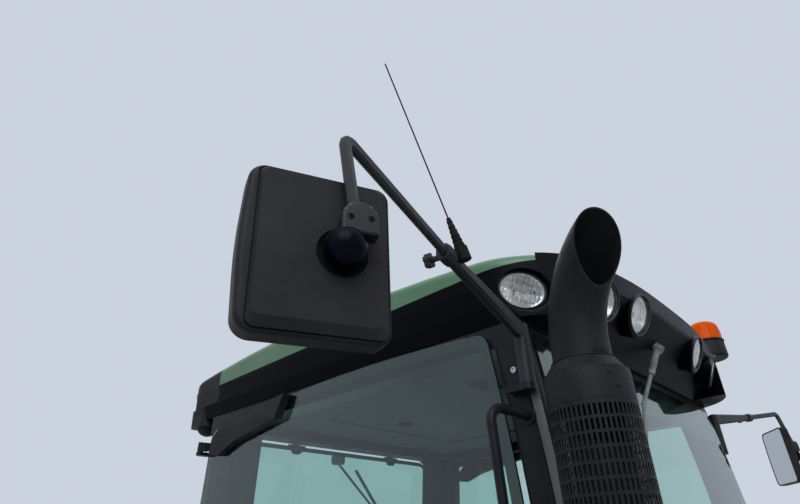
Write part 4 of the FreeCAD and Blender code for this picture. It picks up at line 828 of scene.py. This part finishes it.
def corner_trims():
    """Strip of the wrapped windscreen's edge on each front post, with its seal."""
    for side, sign in SIDES:
        out = Y * sign
        post = nodes["front_post_" + side]
        rows, seal_line = [], []
        strip, seal = bmesh.new(), bmesh.new()
        for k in range(TRIM_ROWS + 1):
            z = TRIM_LOW + TRIM_TALL * k / TRIM_ROWS
            row = []
            for step in range(TRIM_STEPS + 1):
                start = Vector((front_x(z) - TRIM_BACK + TRIM_STEP * step, OUTSIDE * sign, z))
                row.append(post.ray_cast(start, -out)[1])
            seal_line.append(row[0] + out * TRIM_SEAL_LIFT)
            rows.append([strip.verts.new(place + out * TRIM_LIFT) for place in row])
        for low, high in zip(rows, rows[1:]):
            for k in range(TRIM_STEPS):
                strip.faces.new((low[k], low[k + 1], high[k + 1], high[k]))
        tube(seal, seal_line, TRIM_SEAL_R, 8)
        piece("corner_trim_" + side, strip, "pane_edge")
        piece("corner_seal_" + side, seal, "rubber_black")


# Mirrors: ball joint, the boss's two screws, and a thin grey line round the boss's edge that is a painted
# highlight
BALL_AT = (0.842, 1.471, 1.464)
BALL_R = 0.030
BALL_PROUD = 0.0005
BOSS_FROM_BALL = (0.015, -0.009, 0.038)
BOSS_YAW = 28
BOSS_SCREWS = (-0.0143, 0.0143)
BOSS_SCREW_Z = 0.0088
BOSS_EDGE_Z = 0.0112
BOSS_EDGE = (
    (-0.0235, -0.021), (-0.0235, 0), (-0.0215, 0.0115), (-0.0145, 0.0205), (0, 0.0243),
    (0.0145, 0.0205), (0.0215, 0.0115), (0.0235, 0), (0.0235, -0.021),
)


def mirror_details():
    r = BALL_R + BALL_PROUD
    turns = [math.radians(-90 + 10 * k) for k in range(15)]
    profile = [(r * math.cos(a), r * math.sin(a)) for a in turns]
    profile.append((profile[-1][0] - 0.004, profile[-1][1] + 0.002))
    yaw = math.radians(BOSS_YAW)
    for side, sign in SIDES:
        body = "mirror_" + side
        place = mirrored(BALL_AT, sign)
        ball = bmesh.new()
        lathe(ball, profile, Matrix.Translation(place), 40)
        piece("mirror_ball_" + side, ball, "gloss_ball", body)
        out = Vector((math.cos(yaw), sign * math.sin(yaw), 0))
        boss = at(place + mirrored(BOSS_FROM_BALL, sign), out)
        screws = bmesh.new()
        for x in BOSS_SCREWS:
            screw(screws, boss @ shift(x, 0, BOSS_SCREW_Z), 0.0045, 0.0034)
        piece("mirror_boss_screws_" + side, screws, "black_paint", body)
        # Painted highlight: a thin grey tube along the boss's rounded edge stands for the light that the
        # edge catches.
        edge = bmesh.new()
        tube(edge, [boss @ Vector((x, y, BOSS_EDGE_Z)) for x, y in BOSS_EDGE], 0.0009, 8)
        piece("mirror_boss_highlight_" + side, edge, "wiper_grey", body)


# Screws of the mirror hinges, and the rings round the whip's tapered foot
HINGE_SCREW = (0.657, 0.754, 1.485)
WHIP_BASE = Vector((0.776, -1.104, 1.634))
WHIP_TIP = Vector((0.700, -1.226, 2.117))
WHIP_FOOT = 0.072
WHIP_FOOT_R = (0.0112, 0.0047)
WHIP_RING = ((-0.002, 0), (0, 0.0015), (0, 0.0055), (-0.002, 0.007))  # radius, z


def fittings():
    bm = bmesh.new()
    for _, sign in SIDES:
        screw(bm, at(mirrored(HINGE_SCREW, sign) + Y * sign * 0.0005, Y * sign), 0.0085, 0.0045)
    piece("hinge_screws", bm, "screw_steel")
    bm = bmesh.new()
    there = at(WHIP_BASE, WHIP_TIP - WHIP_BASE, X)
    thick, thin = WHIP_FOOT_R
    for k in range(6):
        low = 0.004 + 0.011 * k
        r = thick - (thick - thin) * (low + 0.005) / WHIP_FOOT + 0.0007
        lathe(bm, [(r + more, low + z) for more, z in WHIP_RING], there, 28)
    piece("whip_rings", bm, "rubber_black", "mirror_right")


# Lenses on the back of the roof's rear corner caps, each with a rim and level ribs
REAR_LAMP_Y = 0.710
REAR_LAMPS = ((1.728, 0.036), (1.630, 0.020))  # z, radius
REAR_LENS = ((0, 0.0062), (0.5, 0.0056), (0.85, 0.0040), (0.96, 0.0015))  # share of radius, z
REAR_RIM = ((0.95, 0.0018), (1, 0.0040), (1.08, 0.0036), (1.12, 0))
REAR_RIB_GAP = 1 / 4.2


def rear_lenses():
    lenses, rims = bmesh.new(), bmesh.new()
    for _, sign in SIDES:
        for height, r in REAR_LAMPS:
            start = Vector((-OUTSIDE, REAR_LAMP_Y * sign, height))
            _, place, normal, _ = nodes["rear_corner_lamps"].ray_cast(start, X)
            there = at(place - normal * 0.001, normal)
            for bm, profile in ((lenses, REAR_LENS), (rims, REAR_RIM)):
                lathe(bm, [(r * share, z) for share, z in profile], there)
            for k in range(-3, 4):
                half = math.sqrt(1 - (k * REAR_RIB_GAP) ** 2) * r * 0.86
                rise = 0.0052 - 0.0028 * (k / 3.4) ** 2
                rib = there @ shift(0, k * r * REAR_RIB_GAP, rise)
                slab(lenses, (2 * half, 0.0012, 0.0012), rib, 0.0004, 1)
    piece("rear_lamp_lenses", lenses, "red_lens")
    piece("rear_lamp_rims", rims, "black_moulding")


# Beacon: collar with lugs, and the dome's upright ribs
BEACON = Vector((0.785, 0.690, 1.862))
COLLAR = ((0.0655, -0.004), (0.0670, -0.002), (0.0670, 0.005), (0.0650, 0.007), (0.0632, 0.007))
COLLAR_LUGS = 8
LUG_OUT = 0.0665
DOME_RIBS = 20
DOME_RIB_R = 0.0632
DOME_RIB_Z = (0.010, 0.025, 0.040, 0.052)


def beacon():
    collar, ribs = bmesh.new(), bmesh.new()
    there = Matrix.Translation(BEACON)
    lathe(collar, COLLAR, there, 64)
    for k in range(COLLAR_LUGS):
        lug = there @ spin(360 * k / COLLAR_LUGS) @ shift(LUG_OUT, 0, 0)
        slab(collar, (0.004, 0.010, 0.010), lug, 0.001, 2)
    piece("beacon_collar", collar, "rubber_black")
    for k in range(DOME_RIBS):
        turn = there @ spin(360 * k / DOME_RIBS)
        tube(ribs, [turn @ Vector((DOME_RIB_R, 0, z)) for z in DOME_RIB_Z], 0.0009, 6)
    piece("beacon_ribs", ribs, "amber_lens")


# Instruments on the front console, and what sits round the steering wheel
DASH_FACE = Vector((0.4964, 0, 0.9302))
DASH_RUN = Vector((0.095, 0, 0.120)).normalized()
DIALS = (-0.075, 0.075)
DIAL_GLASS = ((0, 0.0005), (0.0185, 0.0005))
DIAL_RING = ((0.0185, 0), (0.0190, 0.002), (0.0200, 0.002), (0.0205, 0))
NEEDLE_TURN = 0.8
COLUMN_LEAN = math.radians(32)
COLUMN_UP = Vector((-math.sin(COLUMN_LEAN), 0, math.cos(COLUMN_LEAN)))
WHEEL_HUB = Vector((0.470, 0, 0.830)) + COLUMN_UP * 0.238
WHEEL_CAP = ((0.0345, -0.001), (0.0350, 0.002), (0.0330, 0.0045), (0.020, 0.0068), (0, 0.0075))
STALKS = ((1, 0.090), (-1, 0.102))  # side, below the hub
STALK_GRIP = ((0.0046, 0), (0.0080, 0.004), (0.0085, 0.026), (0.006, 0.032), (0, 0.033))


def dashboard():
    face = at(DASH_FACE, Y.cross(DASH_RUN), DASH_RUN)
    body, screens, trims = bmesh.new(), bmesh.new(), bmesh.new()
    slab(body, (0.230, 0.050, 0.012), face, 0.004, 4)
    slab(screens, (0.074, 0.036, 0.004), face @ shift(0, 0, 0.0055), 0.0015)
    for x in DIALS:
        dial = face @ shift(x, 0, 0.006)
        lathe(screens, DIAL_GLASS, dial)
        lathe(trims, DIAL_RING, dial)
        for k in range(11):
            tick = dial @ spin(-130 + 26 * k) @ shift(0, 0.0155, 0.0009)
            slab(trims, (0.0010, 0.0035, 0.0006), tick, 0.0002, 1)
        needle = dial @ Matrix.Rotation(NEEDLE_TURN, 4, "Z") @ shift(0, 0.005, 0.0015)
        slab(trims, (0.0012, 0.0150, 0.0008), needle, 0.0003, 1)
    for k in range(8):
        button = face @ shift(-0.0385 + 0.011 * k, 0.0215, 0.0065)
        slab(body, (0.010, 0.0045, 0.004), button, 0.001, 2)
    piece("cluster_body", body, "black_moulding")
    piece("cluster_screens", screens, "screen_glass")
    piece("cluster_trims", trims, "wiper_grey")


def steering_details():
    cap, stalks = bmesh.new(), bmesh.new()
    hub = at(WHEEL_HUB, COLUMN_UP, X)
    lathe(cap, WHEEL_CAP, hub, 48)
    for k in range(3):
        slab(cap, (0.060, 0.012, 0.0035), hub @ spin(120 * k) @ shift(0.075, 0, -0.0055), 0.0015)
    piece("wheel_cap", cap, "black_moulding", "steering")
    for sign, below in STALKS:
        out = Y * sign
        foot = WHEEL_HUB - COLUMN_UP * below
        end = foot + out * 0.125 + COLUMN_UP * 0.012
        tube(stalks, [foot + out * 0.026, foot + out * 0.090, end], 0.0045, 12)
        lathe(stalks, STALK_GRIP, at(foot + out * 0.122 + COLUMN_UP * 0.011, out), 20)
    piece("column_stalks", stalks, "black_moulding")


# Side console: levers in bellows on its slope, keys on its flat top
CONSOLE_SLOPE = (Vector((0.255, 0, 0.600)), Vector((-0.120, 0, 0.690)))
LEVERS = (  # share of the slope, y, length
    (0.35, -0.360, 0.095), (0.35, -0.410, 0.095), (0.35, -0.460, 0.095), (0.72, -0.385, 0.120),
)
BELLOWS = 4
LEVER_KNOB = (  # radius, z from the rod's end
    (0.006, -0.012), (0.013, -0.004), (0.0165, 0.010), (0.0150, 0.022), (0.008, 0.029), (0, 0.031),
)
KEY_PLATE = (-0.225, -0.410, 0.6915)
KEY_FIRST = (-0.270, -0.455, 0.6965)
KEY_GAP = 0.030


def console():
    low, high = CONSOLE_SLOPE
    run = (high - low).normalized()
    up = Vector((run.z, 0, -run.x))
    boot = [(0.024, 0), (0.024, 0.003)]
    for k in range(BELLOWS):
        r = 0.021 - 0.0035 * k
        boot += [(r, 0.006 + 0.007 * k), (r - 0.0035, 0.0095 + 0.007 * k)]
    boot.append((0.005, 0.036))
    boots, rods, knobs = bmesh.new(), bmesh.new(), bmesh.new()
    for share, y, reach in LEVERS:
        there = at(low.lerp(high, share) + Y * y - up * 0.0005, up, X)
        lathe(boots, boot, there, 32)
        tube(rods, [there @ Vector((0, 0, z)) for z in (0.020, reach * 0.6, reach)], 0.0048, 14)
        lathe(knobs, [(r, reach + z) for r, z in LEVER_KNOB], there, 28, (1, 0.8))
    piece("lever_boots", boots, "rubber_black")
    piece("lever_rods", rods, "screw_steel")
    piece("lever_knobs", knobs, "gloss_ball")
    keys, plate = bmesh.new(), bmesh.new()
    slab(plate, (0.130, 0.130, 0.006), shift(*KEY_PLATE), 0.002)
    x, y, z = KEY_FIRST
    for i in range(4):
        for j in range(4):
            slab(keys, (0.022, 0.022, 0.008), shift(x + KEY_GAP * i, y + KEY_GAP * j, z), 0.0025)
    piece("key_plate", plate, "black_moulding")
    piece("keys", keys, "wiper_grey")


# Floor: a ribbed mat, and three pedals
FLOOR_TOP = 0.110
MAT_ENDS = (0.075, 0.430)
MAT_START = -0.280
MAT_RIBS = 58
MAT_PITCH = 0.010
MAT_BELOW = -0.0005
MAT_RIB = (  # y, z
    (0, 0.0035), (0.003, 0.0035), (0.0035, 0.0062), (0.0070, 0.0062), (0.0075, 0.0035),
)
PEDALS = (-0.130, -0.075, 0.120)
PEDAL_ARM = ((0.478, 0.330), (0.440, 0.300), (0.405, 0.235))  # x, z
PEDAL_PAD = (0.398, 0.222)
PEDAL_TILT = -52


def cabin_floor():
    bm = bmesh.new()
    end = MAT_START + MAT_PITCH * MAT_RIBS
    line = [(MAT_START, MAT_BELOW)]
    line += [(MAT_START + MAT_PITCH * k + y, z) for k in range(MAT_RIBS) for y, z in MAT_RIB]
    line += [(end, MAT_RIB[0][1]), (end, MAT_BELOW)]
    rings = [[bm.verts.new((x, y, FLOOR_TOP + z)) for y, z in line] for x in MAT_ENDS]
    skin(bm, rings)
    for ring in rings:
        bm.faces.new(ring)
    piece("floor_mat", bm, "rubber_black")
    arms, pads = bmesh.new(), bmesh.new()
    for y in PEDALS:
        tube(arms, [(x, y, z) for x, z in PEDAL_ARM], 0.008, 14)
        pad = shift(PEDAL_PAD[0], y, PEDAL_PAD[1]) @ spin(PEDAL_TILT, "Y")
        slab(pads, (0.070, 0.048, 0.009), pad, 0.003)
        for k in range(5):
            slab(pads, (0.004, 0.042, 0.003), pad @ shift(-0.024 + 0.012 * k, 0, 0.0055), 0.001, 1)
    piece("pedal_arms", arms, "black_paint")
    piece("pedal_pads", pads, "rubber_black")


# Ceiling: a round vent and two long ones
CEILING_Z = 1.5975
ROUND_VENT = (-0.280, -0.094)
ROUND_VENT_RIM = (  # radius, z
    (0.032, 0), (0.032, 0.003), (0.029, 0.0045), (0.026, 0.003), (0.010, 0.0035), (0.008, 0.006),
    (0, 0.0065),
)
ROUND_VENT_R = 0.025
LONG_VENTS = ((0.300, -0.33), (0.300, 0.33))


def ceiling():
    bm = bmesh.new()
    there = at((*ROUND_VENT, CEILING_Z), -Z, X)
    lathe(bm, ROUND_VENT_RIM, there)
    for k in range(-3, 4):
        y = 0.007 * k
        half = math.sqrt(ROUND_VENT_R ** 2 - y ** 2)
        slab(bm, (2 * half, 0.0022, 0.004), there @ shift(0, y, 0.0035), 0.0006, 1)
    for spot in LONG_VENTS:
        vent = at((*spot, CEILING_Z), -Z, X)
        slab(bm, (0.110, 0.060, 0.008), vent, 0.003)
        for k in range(5):
            slab(bm, (0.090, 0.003, 0.006), vent @ shift(0, -0.020 + 0.010 * k, 0.0055), 0.001, 1)
    piece("ceiling_vents", bm, "black_moulding")


# Seat: the solids swell by cloth simulation, then the sewn channels are pressed in
PAD_VOXEL = 0.008
PAD_SHRINK = 0.965
PAD_PRESSURE = 4
PAD_STEPS = 20
PAD_CAP = 0.012
CHANNEL_DEEP = 0.007
CHANNEL_WIDE = 0.006
CHANNEL_HALF = 0.14  # half length of the channels that run across


def apply_modifiers(made):
    graph = bpy.context.evaluated_depsgraph_get()
    mesh = bpy.data.meshes.new_from_object(made.evaluated_get(graph))
    made.modifiers.clear()
    made.data = mesh


def swell(made):
    """Blow the piece up a little as a cloth with pressure inside."""
    cloth = made.modifiers.new("cloth", "CLOTH")
    cloth.settings.use_pressure = True
    cloth.settings.uniform_pressure_force = PAD_PRESSURE
    cloth.settings.effector_weights.gravity = 0
    cloth.settings.quality = 5
    for step in range(1, PAD_STEPS + 1):
        bpy.context.scene.frame_set(step)
    apply_modifiers(made)
    bpy.context.scene.frame_set(1)


def padded(name, node, channels):
    made = bpy.data.objects.new(name, nodes[node].data.copy())
    bpy.context.scene.collection.objects.link(made)
    made.data.materials.clear()
    made.data.materials.append(MATERIALS["seat_fabric"])
    remesh = made.modifiers.new("remesh", "REMESH")
    remesh.mode = "VOXEL"
    remesh.voxel_size = PAD_VOXEL
    apply_modifiers(made)
    low, high = (Vector(corner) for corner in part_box(node))
    middle = (low + high) / 2
    for vert in made.data.vertices:
        vert.co = middle + (vert.co - middle) * PAD_SHRINK
    start = [vert.co.copy() for vert in made.data.vertices]
    swell(made)
    for vert, origin in zip(made.data.vertices, start):
        move = vert.co - origin
        if move.length > PAD_CAP:
            vert.co = origin + move.normalized() * PAD_CAP
    smooth = made.modifiers.new("smooth", "SMOOTH")
    smooth.factor = 0.5
    smooth.iterations = 6
    finer = made.modifiers.new("finer", "SUBSURF")
    finer.levels = 1
    apply_modifiers(made)
    # All normals first: each one read after a moved vertex would be worked out anew
    normals = [vert.normal.copy() for vert in made.data.vertices]
    for vert, normal in zip(made.data.vertices, normals):
        vert.co = vert.co - normal * max(depth(vert.co, normal) for depth in channels)
    made.data.shade_smooth()
    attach(made, "root")
    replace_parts(made, node)


def groove(off):
    return CHANNEL_DEEP * math.exp(-(off / CHANNEL_WIDE) ** 2)


def lengthwise(face, y):
    """Two channels at y either side, on the side of the pad that looks along the face axis."""
    def depth(co, normal):
        return groove(abs(co.y) - y) if normal[face] > 0.3 else 0.0
    return depth


def crosswise(face, run, at_run):
    """Channel across the middle, at one place along the run axis."""
    def depth(co, normal):
        return groove(co[run] - at_run) if normal[face] > 0.5 and abs(co.y) < CHANNEL_HALF else 0.0
    return depth


def seat():
    padded("seat_pad", "seat_cushion",
           [lengthwise(2, 0.145), crosswise(2, 0, -0.04), crosswise(2, 0, -0.16)])
    padded("back_pad", "seat_back",
           [lengthwise(0, 0.140)] + [crosswise(0, 2, z) for z in (0.68, 0.82, 0.96)])


make_camera()
make_world()
for light in LIGHTS:
    area_light(*light)
make_floor()
dress_nodes()
guard()
work_lamps()
corner_lamps()
windows()
top_band()
corner_trims()
mirror_details()
fittings()
rear_lenses()
beacon()
dashboard()
steering_details()
console()
cabin_floor()
ceiling()
seat()

bpy.context.scene.view_settings.view_transform = "Standard"
